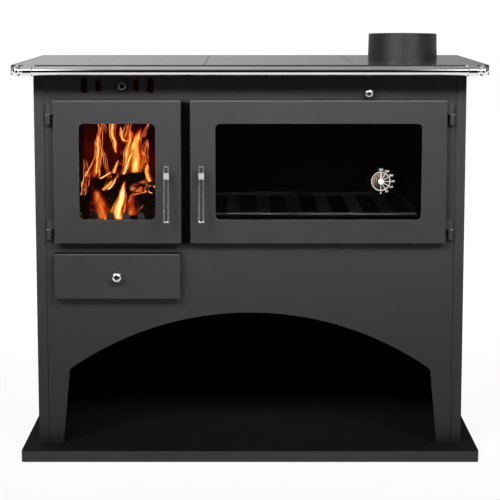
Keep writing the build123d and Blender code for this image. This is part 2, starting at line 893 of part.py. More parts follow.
with BuildPart() as smoke_baffle:
    with BuildSketch(level(oven_outer_top)):
        with BuildLine():
            Polyline((baffle_left_x, lining_back), (baffle_left_x, baffle_y), (lining_side, baffle_y),
                     (lining_side, baffle_y + baffle_sheet),
                     (baffle_left_x + baffle_sheet, baffle_y + baffle_sheet),
                     (baffle_left_x + baffle_sheet, lining_back), close=True)
        make_face()
    extrude(amount=body_top - oven_outer_top)
    with BuildSketch(facing(baffle_y)):
        with Locations((damper_x, damper_z)):
            Circle(damper_port_radius)
    extrude(amount=-baffle_sheet, mode=Mode.SUBTRACT)
save(smoke_baffle, "smoke_baffle")

# --- Controls -----------------------------------------------------------------------------------


def turned_knob(x, z, back_y, head_radius):
    """A turned knob with a foot, a waist and a domed head, standing forward from back_y."""
    with BuildPart() as knob:
        with BuildSketch(Plane(origin=(x, back_y, z), x_dir=(0, -1, 0), z_dir=(1, 0, 0))):
            waist = knob_foot_length + knob_neck_length
            front = waist + knob_head_length
            face_radius = head_radius * knob_face_share
            with BuildLine():
                Polyline((front, face_radius), (front, 0), (0, 0), (0, knob_foot_radius),
                         (knob_foot_length, knob_neck_radius), (waist, knob_neck_radius),
                         (waist, face_radius))
                ThreePointArc((waist, face_radius), (waist + knob_head_length / 2, head_radius),
                              (front, face_radius))
            make_face()
        revolve(axis=Axis((x, back_y, z), (0, -1, 0)))
    return knob


knob_back = body_front - knob_gap
damper_plate_back = baffle_y - control_clearance
with BuildPart() as damper:
    with BuildSketch(facing(damper_plate_back)):
        with Locations((damper_x, damper_z)):
            Circle(damper_plate_radius)
    extrude(amount=damper_plate_thickness)
    with BuildSketch(facing(damper_plate_back - damper_plate_thickness)):
        with Locations((damper_x, damper_z)):
            Circle(damper_rod_radius)
    extrude(amount=damper_plate_back - damper_plate_thickness - knob_back)
save(damper, "damper")

damper_knob = turned_knob(damper_x, damper_z, knob_back, damper_knob_radius)
save(damper_knob, "damper_knob")

slide_front = panel_rear + control_clearance
slide_half_width = air_outer_slot_offset + air_slot_width / 2 + air_slide_margin
with BuildPart() as air_slide:
    with BuildSketch(facing(slide_front)):
        with Locations((air_slot_x, air_z)):
            Rectangle(2 * slide_half_width, air_slide_height)
        for offset_x, length in ((air_outer_slot_offset, air_outer_slot_length),
                                 (air_inner_slot_offset, air_inner_slot_length)):
            with Locations((air_slot_x - offset_x, air_z), (air_slot_x + offset_x, air_z)):
                SlotOverall(length, air_slot_width, rotation=90, mode=Mode.SUBTRACT)
    extrude(amount=-air_slide_sheet)
    with BuildSketch(facing(slide_front)):
        with Locations((air_knob_x, air_z)):
            Circle(air_stem_radius)
    extrude(amount=slide_front - knob_back)
save(air_slide, "air_slide")

air_knob = turned_knob(air_knob_x, air_z, knob_back, air_knob_radius)
save(air_knob, "air_knob")

guide_half_width = slide_half_width + air_travel
slide_rear = slide_front + air_slide_sheet + control_clearance
with BuildPart() as air_slide_guides:
    for edge, side in ((air_z + air_slide_height / 2 + control_clearance, 1),
                       (air_z - air_slide_height / 2 - control_clearance, -1)):
        with BuildSketch(across(air_slot_x - guide_half_width)):
            with BuildLine():
                Polyline((panel_rear, edge), (slide_rear, edge), (slide_rear, edge - side * air_guide_lip),
                         (slide_rear + air_slide_sheet, edge - side * air_guide_lip),
                         (slide_rear + air_slide_sheet, edge + side * air_guide_height),
                         (panel_rear, edge + side * air_guide_height), close=True)
            make_face()
        extrude(amount=2 * guide_half_width)
save(air_slide_guides, "air_slide_guides")

# --- Ash drawer ---------------------------------------------------------------------------------

with BuildPart() as ash_drawer_front:
    with BuildSketch(facing(door_face)):
        panel(drawer_left, drawer_right, drawer_bottom, drawer_top)
    extrude(amount=-(door_depth - drawer_back_gap))
    offset(amount=-door_sheet, openings=ash_drawer_front.faces().sort_by(Axis.Y)[-1])
save(ash_drawer_front, "ash_drawer_front")

with BuildPart() as ash_drawer_pan:
    for edges, low, high in box_sheets((pan_left, pan_right, door_inner, pan_back),
                                       pan_bottom, pan_top, drawer_sheet, roofed=False):
        with BuildSketch(level(low)):
            panel(*edges)
        extrude(amount=high - low)
save(ash_drawer_pan, "ash_drawer_pan")

ash_drawer_knob = turned_knob((drawer_left + drawer_right) / 2, (drawer_bottom + drawer_top) / 2,
                              door_face, drawer_knob_radius)
save(ash_drawer_knob, "ash_drawer_knob")

# --- Doors --------------------------------------------------------------------------------------

dial_x = oven_window[1] - thermometer_inset
dial_z = oven_window[3] - thermometer_drop
fire_handle_x = fire_right - fire_handle_inset
oven_handle_x = oven_left + oven_handle_inset
lower_splits = (door_bottom + bottom_hinge_rise, door_top - top_hinge_drop)
glass_rear = door_inner + glass_thickness
channel_half = seal_width / 2 + seal_channel_wall
seal_groove = door_inner + seal_channel_depth - (body_front - control_clearance - seal_depth)


def door_frame(left, right, opening, window, handle_x):
    """A door's folded box with its window, the channel of its seal and the boss of its spindle."""
    seal = widen(opening, seal_offset)
    with BuildPart() as frame:
        with BuildSketch(facing(door_face)):
            panel(left, right, door_bottom, door_top)
        extrude(amount=-(door_rear - door_face))
        offset(amount=-door_sheet, openings=frame.faces().sort_by(Axis.Y)[-1])
        with BuildSketch(facing(door_inner)):
            panel(*widen(seal, channel_half))
            panel(*widen(seal, -channel_half), mode=Mode.SUBTRACT)
        extrude(amount=-seal_channel_depth)
        with BuildSketch(facing(door_inner + seal_channel_depth)):
            panel(*widen(seal, seal_width / 2))
            panel(*widen(seal, -seal_width / 2), mode=Mode.SUBTRACT)
        extrude(amount=seal_groove, mode=Mode.SUBTRACT)
        with BuildSketch(facing(door_face)):
            panel(*window, window_radius)
        extrude(amount=-door_sheet, mode=Mode.SUBTRACT)
        with BuildSketch(facing(door_inner)):
            with Locations((handle_x, handle_z)):
                Circle(boss_radius)
        extrude(amount=-boss_depth)
        with BuildSketch(facing(door_face)):
            with Locations((handle_x, handle_z)):
                Circle(spindle_radius + spindle_clearance)
        extrude(amount=-(door_sheet + boss_depth), mode=Mode.SUBTRACT)
    return frame


def door_seal(opening):
    """The rope that fills the door's channel and meets the front panel round the opening."""
    seal = widen(opening, seal_offset)
    with BuildPart() as rope:
        with BuildSketch(facing(body_front - control_clearance)):
            panel(*widen(seal, seal_width / 2), seal_width)
            panel(*widen(seal, -seal_width / 2), mode=Mode.SUBTRACT)
        extrude(amount=seal_depth)
    return rope


def door_glass(window, bores=()):
    """The pane behind a door's window, with bores (x, z, radius) for what passes through it."""
    with BuildPart() as pane:
        with BuildSketch(facing(door_inner)):
            panel(*widen(window, glass_overlap), window_radius / 2)
            for x, z, radius in bores:
                with Locations((x, z)):
                    Circle(radius, mode=Mode.SUBTRACT)
        extrude(amount=-glass_thickness)
    return pane


def glass_clips(window):
    """Four stepped clips that hold the pane at its top and bottom edges."""
    middle = (window[0] + window[1]) / 2
    with BuildPart() as clips:
        for edge, side in ((window[3] + glass_overlap, 1), (window[2] - glass_overlap, -1)):
            step = edge + side * clip_edge_gap
            for centre in (middle - clip_spacing, middle + clip_spacing):
                with BuildSketch(across(centre - clip_width / 2)):
                    with BuildLine():
                        Polyline((glass_rear, edge - side * clip_foot), (glass_rear, step),
                                 (door_inner, step), (door_inner, step + side * clip_foot),
                                 (door_inner + clip_sheet, step + side * clip_foot),
                                 (door_inner + clip_sheet, step + side * clip_sheet),
                                 (glass_rear + clip_sheet, step + side * clip_sheet),
                                 (glass_rear + clip_sheet, edge - side * clip_foot), close=True)
                    make_face()
                extrude(amount=clip_width)
    return clips


def door_handle(handle_x):
    """A slender bar handle: an eye above the hub, a long slot below it, leaning out at the foot."""
    lean = radians(handle_tilt)
    plane = Plane(origin=(handle_x, door_face - handle_stand_off, handle_z), x_dir=(1, 0, 0),
                  z_dir=(0, -cos(lean), sin(lean)))
    top_half, bottom_half = handle_top_width / 2, handle_bottom_width / 2
    with BuildPart() as handle:
        with BuildSketch(plane):
            with BuildLine():
                Polyline((-top_half, handle_above), (top_half, handle_above),
                         (bottom_half, -handle_below), (-bottom_half, -handle_below), close=True)
            make_face()
            panel(handle_bar - top_half, top_half - handle_bar,
                  handle_hub_half, handle_above - handle_bar, mode=Mode.SUBTRACT)
            panel(handle_bar - top_half, top_half - handle_bar,
                  handle_bar - handle_below, -handle_hub_half, handle_bar, mode=Mode.SUBTRACT)
        extrude(amount=handle_thickness)
        with BuildSketch(facing(door_face - handle_gap)):
            with Locations((handle_x, handle_z)):
                Circle(handle_hub_radius)
        extrude(amount=handle_stand_off - handle_gap + handle_thickness / 2)
    return handle


def door_latch(handle_x, tongue_x):
    """A latch spindle from the handle's hub to a tongue behind the front panel."""
    tongue_front = panel_rear + latch_behind
    with BuildPart() as latch:
        with BuildSketch(facing(door_face - handle_gap)):
            with Locations((handle_x, handle_z)):
                Circle(spindle_radius)
        extrude(amount=-(tongue_front + latch_thickness - door_face + handle_gap))
        with BuildSketch(facing(tongue_front)):
            panel(min(handle_x, tongue_x), max(handle_x, tongue_x),
                  handle_z - spindle_radius, handle_z + spindle_radius)
        extrude(amount=-latch_thickness)
    return latch


def door_knuckles(side, door_edge):
    """The two upper hinge knuckles of a door, each with the web that joins it to the door's edge."""
    with BuildPart() as knuckles:
        for split in lower_splits:
            bottom = split + washer_thickness + 2 * washer_clearance
            with BuildSketch(level(bottom)):
                with Locations((side * hinge_x, hinge_y)):
                    Circle(hinge_radius)
                panel(min(side * hinge_x, door_edge), max(side * hinge_x, door_edge),
                      hinge_y - hinge_radius, hinge_y - hinge_radius + hinge_web)
            extrude(amount=knuckle_height)
            with BuildSketch(level(bottom)):
                with Locations((side * hinge_x, hinge_y)):
                    Circle(hinge_pin_radius + hinge_pin_clearance)
            extrude(amount=pin_reach + pin_end_gap, mode=Mode.SUBTRACT)
    return knuckles


with BuildPart() as hinge_posts:
    for side in (-1, 1):
        for split in lower_splits:
            with BuildSketch(level(split - knuckle_height)):
                with Locations((side * hinge_x, hinge_y)):
                    Circle(hinge_radius)
                panel(side * hinge_x - hinge_foot_width / 2, side * hinge_x + hinge_foot_width / 2,
                      hinge_y, body_front)
            extrude(amount=knuckle_height)
            with BuildSketch(level(split)):
                with Locations((side * hinge_x, hinge_y)):
                    Circle(hinge_pin_radius)
            extrude(amount=washer_thickness + 2 * washer_clearance + pin_reach)
save(hinge_posts, "hinge_posts")

with BuildPart() as hinge_washers:
    for side in (-1, 1):
        for split in lower_splits:
            with BuildSketch(level(split + washer_clearance)):
                with Locations((side * hinge_x, hinge_y)):
                    Circle(washer_radius)
                    Circle(hinge_pin_radius + hinge_pin_clearance, mode=Mode.SUBTRACT)
            extrude(amount=washer_thickness)
save(hinge_washers, "hinge_washers")

save(door_frame(fire_left, fire_right, fire_opening, fire_window, fire_handle_x), "fire_door_frame")
save(door_seal(fire_opening), "fire_door_seal")
save(door_glass(fire_window), "fire_door_glass")
save(glass_clips(fire_window), "fire_glass_clips")
save(door_handle(fire_handle_x), "fire_door_handle")
save(door_latch(fire_handle_x, fire_opening[1] - latch_clearance), "fire_door_latch")
save(door_knuckles(-1, fire_left), "fire_door_knuckles")

save(door_frame(oven_left, oven_right, oven_opening, oven_window, oven_handle_x), "oven_door_frame")
save(door_seal(oven_opening), "oven_door_seal")
save(door_glass(oven_window, bores=[(dial_x, dial_z, dial_stem_radius + dial_stem_clearance)]),
     "oven_door_glass")
save(glass_clips(oven_window), "oven_glass_clips")
save(door_handle(oven_handle_x), "oven_door_handle")
save(door_latch(oven_handle_x, oven_opening[0] + latch_clearance), "oven_door_latch")
save(door_knuckles(1, oven_right), "oven_door_knuckles")

# --- Oven thermometer ---------------------------------------------------------------------------

dial_front = door_inner - dial_thickness
coil_front = dial_front - coil_height
pointer_back = coil_front - pointer_lift
pointer_front = pointer_back - pointer_thickness
with BuildPart() as thermometer_dial:
    with BuildSketch(facing(door_inner)):
        with Locations((dial_x, dial_z)):
            Circle(dial_radius)
    extrude(amount=dial_thickness)
    with BuildSketch(facing(door_inner)):
        with Locations((dial_x, dial_z)):
            Circle(dial_stem_radius)
    extrude(amount=-(glass_thickness + dial_nut_height))
    with BuildSketch(facing(glass_rear)):
        with Locations((dial_x, dial_z)):
            RegularPolygon(dial_nut_radius, 6)
    extrude(amount=-dial_nut_height)
    with BuildSketch(facing(dial_front)):
        with Locations((dial_x, dial_z)):
            Circle(dial_stem_radius)
    extrude(amount=coil_height + pointer_lift + pointer_thickness + pointer_clearance * 2)
    with BuildSketch(facing(pointer_front - pointer_clearance * 2)):
        with Locations((dial_x, dial_z)):
            Circle(hub_radius)
    extrude(amount=hub_height)
save(thermometer_dial, "thermometer_dial")

with BuildPart() as thermometer_coil:
    for ring in range(coil_ring_count):
        outer = coil_radius - ring * coil_ring_pitch
        with BuildSketch(facing(dial_front)):
            with Locations((dial_x, dial_z)):
                Circle(outer)
                Circle(outer - coil_ring_width, mode=Mode.SUBTRACT)
        extrude(amount=coil_height)
save(thermometer_coil, "thermometer_coil")

with BuildPart() as thermometer_pointer:
    with BuildSketch(facing(pointer_back)):
        with Locations((dial_x, dial_z)):
            Circle(dial_stem_radius + pointer_width)
            with Locations((0, pointer_length / 2)):
                SlotOverall(pointer_length + pointer_width, pointer_width, rotation=90)
            Circle(dial_stem_radius + pointer_clearance, mode=Mode.SUBTRACT)
    extrude(amount=pointer_thickness)
save(thermometer_pointer, "thermometer_pointer")
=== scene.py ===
# %% [markdown]
# # A wood cookstove
# This lesson dresses a finished CAD model of a kitchen stove that burns wood: a firebox with a
# glazed door on the left, an oven with a wide glazed door on the right, a steel hob above them
# and an arched wood store below. The CAD model brings every solid at its true size, in metres.
# What Blender adds is what the eye judges: paint, steel, chrome, glass, fire and light.

# %% Load the CAD model as the fixed frame
from math import cos, pi, radians, sin

import bpy
from mathutils import Matrix, Vector


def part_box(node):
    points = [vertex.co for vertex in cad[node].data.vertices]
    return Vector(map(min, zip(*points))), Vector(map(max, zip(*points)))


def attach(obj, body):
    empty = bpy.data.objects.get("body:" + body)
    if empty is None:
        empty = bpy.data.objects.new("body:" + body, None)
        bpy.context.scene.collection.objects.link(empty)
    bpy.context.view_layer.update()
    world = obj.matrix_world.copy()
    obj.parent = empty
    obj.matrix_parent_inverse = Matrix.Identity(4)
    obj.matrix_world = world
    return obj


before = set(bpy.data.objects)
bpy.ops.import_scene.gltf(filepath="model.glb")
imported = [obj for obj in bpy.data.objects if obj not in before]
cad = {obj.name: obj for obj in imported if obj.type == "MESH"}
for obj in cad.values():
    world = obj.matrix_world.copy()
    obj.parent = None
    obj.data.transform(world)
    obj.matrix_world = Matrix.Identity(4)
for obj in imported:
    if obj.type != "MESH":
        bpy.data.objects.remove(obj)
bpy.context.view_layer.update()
scene = bpy.context.scene
scene.view_settings.view_transform = "Standard"

# %% [markdown]
# ## The camera
# The picture to match was taken from straight in front, from a little above the hob and from
# some way off, so the sides hardly show and the hob is a thin strip. A long lens far away keeps
# that flat look. The camera tilts down by a few degrees, and a small shift sets the height of
# the frame.

# %% Place the camera
CAMERA_PLACE = (0, -3.768, 1.0013)
CAMERA_TILT = 82.41
CAMERA_LENS = 120.62
CAMERA_SENSOR = 36
CAMERA_SHIFT = -0.07

camera_data = bpy.data.cameras.new("camera")
camera_data.lens = CAMERA_LENS
camera_data.sensor_width = CAMERA_SENSOR
camera_data.shift_y = CAMERA_SHIFT
camera = bpy.data.objects.new("camera", camera_data)
camera.location = CAMERA_PLACE
camera.rotation_euler = (radians(CAMERA_TILT), 0, 0)
scene.collection.objects.link(camera)
scene.camera = camera
print("camera at", CAMERA_PLACE)

# %% [markdown]
# ## Small helpers
# Blender's operators act on whatever is selected, so each new piece starts with nothing
# selected. A finished piece keeps its place in its mesh and leaves its origin at the world's
# origin, because patterns that read object coordinates would slide otherwise.

# %% Helpers that pick and settle pieces


def deselect():
    """Leaves nothing selected."""
    for item in bpy.context.selected_objects:
        item.select_set(False)


def pick(*items):
    """Selects only these objects and makes the first one active."""
    deselect()
    for item in items:
        item.select_set(True)
    bpy.context.view_layer.objects.active = items[0]


def settle(item, name):
    """Names a piece and moves its place, turn and scale into its mesh."""
    pick(item)
    bpy.ops.object.transform_apply(location=True, rotation=True, scale=True)
    item.name = name
    item.data.name = name
    return item


def join(items, name):
    """Makes one piece of several."""
    pick(*items)
    if len(items) > 1:
        bpy.ops.object.join()
    return settle(bpy.context.view_layer.objects.active, name)


deselect()
print("pieces can be picked, selected:", len(bpy.context.selected_objects))

# %% [markdown]
# ### Helpers that shape a mesh
# By hand, the vertices to move are clicked. Here a test on their place does it. A piece that has
# been extruded or joined may have doubled points and faces that look inwards, which the eye
# doesn't see and a render does, so there is a helper for that too. Texture displacement is used
# by logs, embers and flames alike.

# %% Helpers that shape a mesh
MERGE_WITHIN = 0.00001


def select_where(item, kind, test):
    """In edit mode, selects the vertices, edges or faces that pass a test, and nothing else."""
    bpy.ops.mesh.select_mode(type=kind)
    bpy.ops.mesh.select_all(action="DESELECT")
    bpy.ops.object.mode_set(mode="OBJECT")
    mesh = item.data
    for part in {"VERT": mesh.vertices, "EDGE": mesh.edges, "FACE": mesh.polygons}[kind]:
        part.select = test(part)
    bpy.ops.object.mode_set(mode="EDIT")


def copy_piece(item):
    """A copy of a piece with a mesh of its own."""
    twin = item.copy()
    twin.data = item.data.copy()
    scene.collection.objects.link(twin)
    return twin


def outward(item):
    """Merges doubles and turns every face outwards."""
    pick(item)
    bpy.ops.object.mode_set(mode="EDIT")
    bpy.ops.mesh.select_all(action="SELECT")
    bpy.ops.mesh.remove_doubles(threshold=MERGE_WITHIN)
    bpy.ops.mesh.normals_make_consistent(inside=False)
    bpy.ops.object.mode_set(mode="OBJECT")


def displace(item, name, texture, strength, **settings):
    """Pushes the surface of the active piece in and out by a texture, and applies that."""
    push = item.modifiers.new(name, "DISPLACE")
    push.texture = texture
    push.texture_coords = "GLOBAL"
    push.strength = strength
    for label, value in settings.items():
        setattr(push, label, value)
    bpy.ops.object.modifier_apply(modifier=push.name)


print("mesh helpers ready")

# %% [markdown]
# ## Sums in a shader
# A shader does its sums in nodes. A few moves come back all the time: a smooth step between two
# limits, which gives every border its softness, a sum of two values, and the place on a piece.
# Each gets a helper here, so that the cells below read like formulas.

# %% Helpers for sums in a shader


def grey(value):
    """A grey colour."""
    return (value, value, value)


def ramp_between(nodes, links, value, low, high, start=0.0, end=1.0):
    """A smooth step of a value from start to end while it goes from low to high."""
    step = nodes.new("ShaderNodeMapRange")
    step.interpolation_type = "SMOOTHSTEP"
    for socket, number in zip(("From Min", "From Max", "To Min", "To Max"),
                              (low, high, start, end)):
        step.inputs[socket].default_value = number
    links.new(value, step.inputs["Value"])
    return step.outputs["Result"]


def calculate(nodes, links, kind, first, second):
    """A Math node between two sockets or numbers."""
    node = nodes.new("ShaderNodeMath")
    node.operation = kind
    for slot, given in enumerate((first, second)):
        if isinstance(given, (int, float)):
            node.inputs[slot].default_value = given
        else:
            links.new(given, node.inputs[slot])
    return node.outputs[0]


def split(nodes, links, vector):
    """The X, Y and Z of a vector."""
    node = nodes.new("ShaderNodeSeparateXYZ")
    links.new(vector, node.inputs[0])
    return node.outputs


def place_on_piece(nodes):
    """The place on a piece, in metres, in the frame that all pieces share."""
    return nodes.new("ShaderNodeTexCoord").outputs["Object"]


def distance_from(nodes, links, spot):
    """How far the place on a piece is from a spot."""
    node = nodes.new("ShaderNodeVectorMath")
    node.operation = "DISTANCE"
    links.new(place_on_piece(nodes), node.inputs[0])
    node.inputs[1].default_value = spot
    return node.outputs["Value"]


print("shader sums ready")

# %% [markdown]
# ## The studio
# The stove stands on a plain white floor in a white studio, but the room in front of it is dark.
# The dark is what keeps the door glass black, and it draws the dark line along the chrome rail,
# between the ceiling and the white floor. Two upright strips of light stand left and right of
# the camera; the rail doesn't mirror them, but the edges of the handles do. A photographed room
# could be wrapped round the stove, but one written by direction stays adjustable: each limit
# below is a height or a side of the room, on a ball of radius one round the stove.

# %% Write down the room that metal mirrors
CEILING_FROM, CEILING_FULL = 0.40, 0.75
BEHIND_FROM, BEHIND_FULL = -0.15, 0.55
WALL_FOOT, WALL_TOP = 0.1, 0.7
WALL_LOW, WALL_HIGH = 0.38, 0.40
LEFT_EDGE, RIGHT_EDGE = -0.2, 0.2
LEFT_BRIGHT, RIGHT_BRIGHT = 1.4, 0.7
STRIP_INSIDE, STRIP_OUTSIDE = (0.42, 0.50), (0.82, 0.72)
STRIP_FRONT, STRIP_TOP = (0.0, -0.2), (0.50, 0.40)
STRIP_LIGHT = 0.9
ROOM_DARK = 0.012

world = bpy.data.worlds.new("studio")
scene.world = world
world.use_nodes = True
air, wire = world.node_tree.nodes, world.node_tree.links
air.clear()
way = split(air, wire, air.new("ShaderNodeTexCoord").outputs["Generated"])
ceiling = ramp_between(air, wire, way["Z"], CEILING_FROM, CEILING_FULL)
behind_stove = ramp_between(air, wire, way["Y"], BEHIND_FROM, BEHIND_FULL)
lit = calculate(air, wire, "MAXIMUM", ceiling, behind_stove)
wall = ramp_between(air, wire, way["Z"], WALL_FOOT, WALL_TOP, WALL_LOW, WALL_HIGH)
from_left = ramp_between(air, wire, way["X"], LEFT_EDGE, RIGHT_EDGE,
                         LEFT_BRIGHT, RIGHT_BRIGHT)
room = calculate(air, wire, "MULTIPLY", calculate(air, wire, "MULTIPLY", lit, wall), from_left)
sideways = calculate(air, wire, "ABSOLUTE", way["X"], 0)
strips = ramp_between(air, wire, sideways, *STRIP_INSIDE)
for limit in (ramp_between(air, wire, sideways, *STRIP_OUTSIDE, 0.0, STRIP_LIGHT),
              ramp_between(air, wire, way["Y"], *STRIP_FRONT),
              ramp_between(air, wire, way["Z"], *STRIP_TOP)):
    strips = calculate(air, wire, "MULTIPLY", strips, limit)
mirrored = calculate(air, wire, "MAXIMUM", calculate(air, wire, "MAXIMUM", room, strips),
                     ROOM_DARK)
print("nodes of the mirrored room:", len(air))

# %% [markdown]
# ### Which ray asks
# The Light Path node tells what kind of ray asks for a background. Rays that have met something
# dull on their way carry light, and don't show a picture, so they are told apart from straight
# ones. What the camera sees through glass counts as seen by the camera.

# %% Helpers that tell rays apart


def straight_rays(nodes, links, kind, *avoided):
    """One for rays of this kind that have met no surface of the avoided kinds, or else nought."""
    rays = nodes.new("ShaderNodeLightPath")
    found = rays.outputs[kind]
    for depth in avoided:
        unmet = calculate(nodes, links, "LESS_THAN", rays.outputs[depth], 0.5)
        found = calculate(nodes, links, "MULTIPLY", found, unmet)
    return found


def seen_by_camera(nodes, links):
    """One for what the camera sees by itself or straight through glass."""
    through = straight_rays(nodes, links, "Is Transmission Ray", "Diffuse Depth", "Glossy Depth")
    bare = nodes.new("ShaderNodeLightPath").outputs["Is Camera Ray"]
    return calculate(nodes, links, "MAXIMUM", bare, through)


print("ray helpers ready")

# %% [markdown]
# ### One world for three kinds of ray
# The camera sees white. Metal and glass see the room. All other rays only fill the shadows, with
# one even and weak grey, so that the soft boxes shape the stove.

# %% Build the world
CAMERA_WHITE = 1.0
FILL_LIGHT = 0.03


def background(nodes, strength):
    """A neutral Background shader of a strength."""
    shader = nodes.new("ShaderNodeBackground")
    shader.inputs["Color"].default_value = (1, 1, 1, 1)
    shader.inputs["Strength"].default_value = strength
    return shader


def choose(nodes, links, factor, first, second):
    """One shader where a factor is nought and another where it is one."""
    mix = nodes.new("ShaderNodeMixShader")
    links.new(factor, mix.inputs[0])
    links.new(first, mix.inputs[1])
    links.new(second, mix.inputs[2])
    return mix.outputs[0]


mirror = background(air, 1)
wire.new(mirrored, mirror.inputs["Strength"])
shiny = calculate(air, wire, "MAXIMUM", straight_rays(air, wire, "Is Glossy Ray", "Diffuse Depth"),
                  straight_rays(air, wire, "Is Transmission Ray", "Diffuse Depth"))
unseen = choose(air, wire, shiny, background(air, FILL_LIGHT).outputs[0], mirror.outputs[0])
all_rays = choose(air, wire, seen_by_camera(air, wire), unseen,
                  background(air, CAMERA_WHITE).outputs[0])
wire.new(all_rays, air.new("ShaderNodeOutputWorld").inputs["Surface"])
print("world nodes:", len(air))

# %% [markdown]
# ## The floor
# The floor is a real surface, so it takes a soft shadow and throws light back up under the
# stove. To the camera and to anything shiny it also glows, which makes it as white as the studio
# round it without putting more light on the stove. It ends a metre and a half in front, where
# the dark of the room begins.

# %% Lay the floor
FLOOR_FRONT, FLOOR_BACK, FLOOR_SIDE = -1.5, 30.0, 30.0
FLOOR_GREY = 0.2
FLOOR_HEIGHT = -0.0005
GLOW_NEAR, GLOW_FAR = 0.90, 1.0
GLOW_FROM, GLOW_TO = 0.8, 1.8

deselect()
bpy.ops.mesh.primitive_plane_add(size=1)
floor = bpy.context.object
floor.scale = (2 * FLOOR_SIDE, FLOOR_BACK - FLOOR_FRONT, 1)
floor.location = (0, (FLOOR_BACK + FLOOR_FRONT) / 2, FLOOR_HEIGHT)
settle(floor, "floor")
floor_white = bpy.data.materials.new("floor_white")
floor_white.use_nodes = True
nodes, links = floor_white.node_tree.nodes, floor_white.node_tree.links
nodes.clear()
matt = nodes.new("ShaderNodeBsdfDiffuse")
matt.inputs["Color"].default_value = (*grey(FLOOR_GREY), 1)
glow = nodes.new("ShaderNodeEmission")
away = distance_from(nodes, links, (0, 0, 0))
share = ramp_between(nodes, links, away, GLOW_FROM, GLOW_TO, GLOW_NEAR, GLOW_FAR)
seen = calculate(nodes, links, "MAXIMUM", seen_by_camera(nodes, links),
                 straight_rays(nodes, links, "Is Glossy Ray", "Diffuse Depth"))
links.new(calculate(nodes, links, "MULTIPLY", seen, share), glow.inputs["Strength"])
both = nodes.new("ShaderNodeAddShader")
links.new(matt.outputs[0], both.inputs[0])
links.new(glow.outputs[0], both.inputs[1])
links.new(both.outputs[0], nodes.new("ShaderNodeOutputMaterial").inputs["Surface"])
floor.data.materials.append(floor_white)
print("floor laid")

# %% [markdown]
# ## The lights
# Two large soft boxes hang left and right in front of the stove, well above it. From there the
# hob throws its shadow on the strip under it, and the light fades towards the base, because a
# soft box with a narrow spread sends little past what it is aimed at. A third one hangs over
# the hob, and weak ones behind keep the back and the sides readable from there. Only the two in
# front show in metal, or the hob would burn out when seen from above.

# %% Hang the soft boxes
LIGHT_AIM = Vector((0, -0.1, 1.05))
SOFT_BOXES = {
    # name: place, size, watts, spread in degrees
    "front_left": ((-1.4, -2.6, 2.4), (2.2, 1.0), 12.6, 42),
    "front_right": ((1.4, -2.6, 2.4), (2.2, 1.0), 11.0, 42),
    "over_hob": ((0, 0.3, 2.9), (1.6, 1.6), 4, 180),
    "behind_left": ((-2.4, 2.6, 2.0), (1.5, 1.5), 14, 180),
    "behind_right": ((2.4, 2.6, 2.0), (1.5, 1.5), 14, 180),
}
for name, (place, size, watts, spread) in SOFT_BOXES.items():
    lamp = bpy.data.lights.new(name, "AREA")
    lamp.shape = "RECTANGLE"
    lamp.size, lamp.size_y = size
    lamp.energy = watts
    lamp.spread = radians(spread)
    holder = bpy.data.objects.new(name, lamp)
    holder.location = place
    holder.visible_glossy = name.startswith("front")
    holder.rotation_euler = (LIGHT_AIM - Vector(place)).to_track_quat("-Z", "Y").to_euler()
    scene.collection.objects.link(holder)
print("soft boxes:", len(SOFT_BOXES))

# %% [markdown]
# ## Shared effects
# Paint, steel and iron share three things: a fine grain, cloudy changes of tone, and rounded edges,
# which on the doors and the drawer also carry a painted highlight. Each is a node group with named
# sockets, made once. A group gives out only a value, a mask or a normal; the shader itself stays in
# each material, so that the finish can be exported.

# %% Helper that starts a node group


def new_group(name, inputs, outputs):
    """A shader node group with its named sockets, and its two end nodes."""
    group = bpy.data.node_groups.new(name, "ShaderNodeTree")
    for label, kind, value in inputs:
        socket = group.interface.new_socket(label, in_out="INPUT", socket_type=kind)
        socket.default_value = value
    for label, kind in outputs:
        group.interface.new_socket(label, in_out="OUTPUT", socket_type=kind)
    return group, group.nodes.new("NodeGroupInput"), group.nodes.new("NodeGroupOutput")


print("group helper ready")

# %% [markdown]
# ### Grain
# A noise that may be stretched: even for powder coat and cast iron, drawn out along one way for
# rolled or brushed steel.

# %% Build the grain group
grain_group, start, end = new_group(
    "surface_grain",
    [("Scale", "NodeSocketFloat", 400.0), ("Stretch", "NodeSocketVector", (1, 1, 1)),
     ("Detail", "NodeSocketFloat", 3.0)],
    [("Value", "NodeSocketFloat")])
nodes, links = grain_group.nodes, grain_group.links
stretch = nodes.new("ShaderNodeVectorMath")
stretch.operation = "MULTIPLY"
links.new(place_on_piece(nodes), stretch.inputs[0])
links.new(start.outputs["Stretch"], stretch.inputs[1])
noise = nodes.new("ShaderNodeTexNoise")
links.new(stretch.outputs[0], noise.inputs["Vector"])
links.new(start.outputs["Scale"], noise.inputs["Scale"])
links.new(start.outputs["Detail"], noise.inputs["Detail"])
links.new(noise.outputs["Fac"], end.inputs["Value"])
print("group:", grain_group.name)

# %% [markdown]
# ### Rounded edges and their painted highlight
# Sheet steel is folded, not cut sharp, so a folded edge catches a thin line of light. The Bevel
# node rounds the normal there without touching the mesh. Where that normal leaves the face's own,
# an edge is near, and that gives the mask for a painted highlight along the edge, broken into
# patches by a noise.

# %% Build the edge group
BEVEL_SAMPLES = 6
FLAT, TURNED = 0.99, 0.8
HIGHLIGHT_BREAK_FROM, HIGHLIGHT_BREAK_TO = 0.35, 0.65

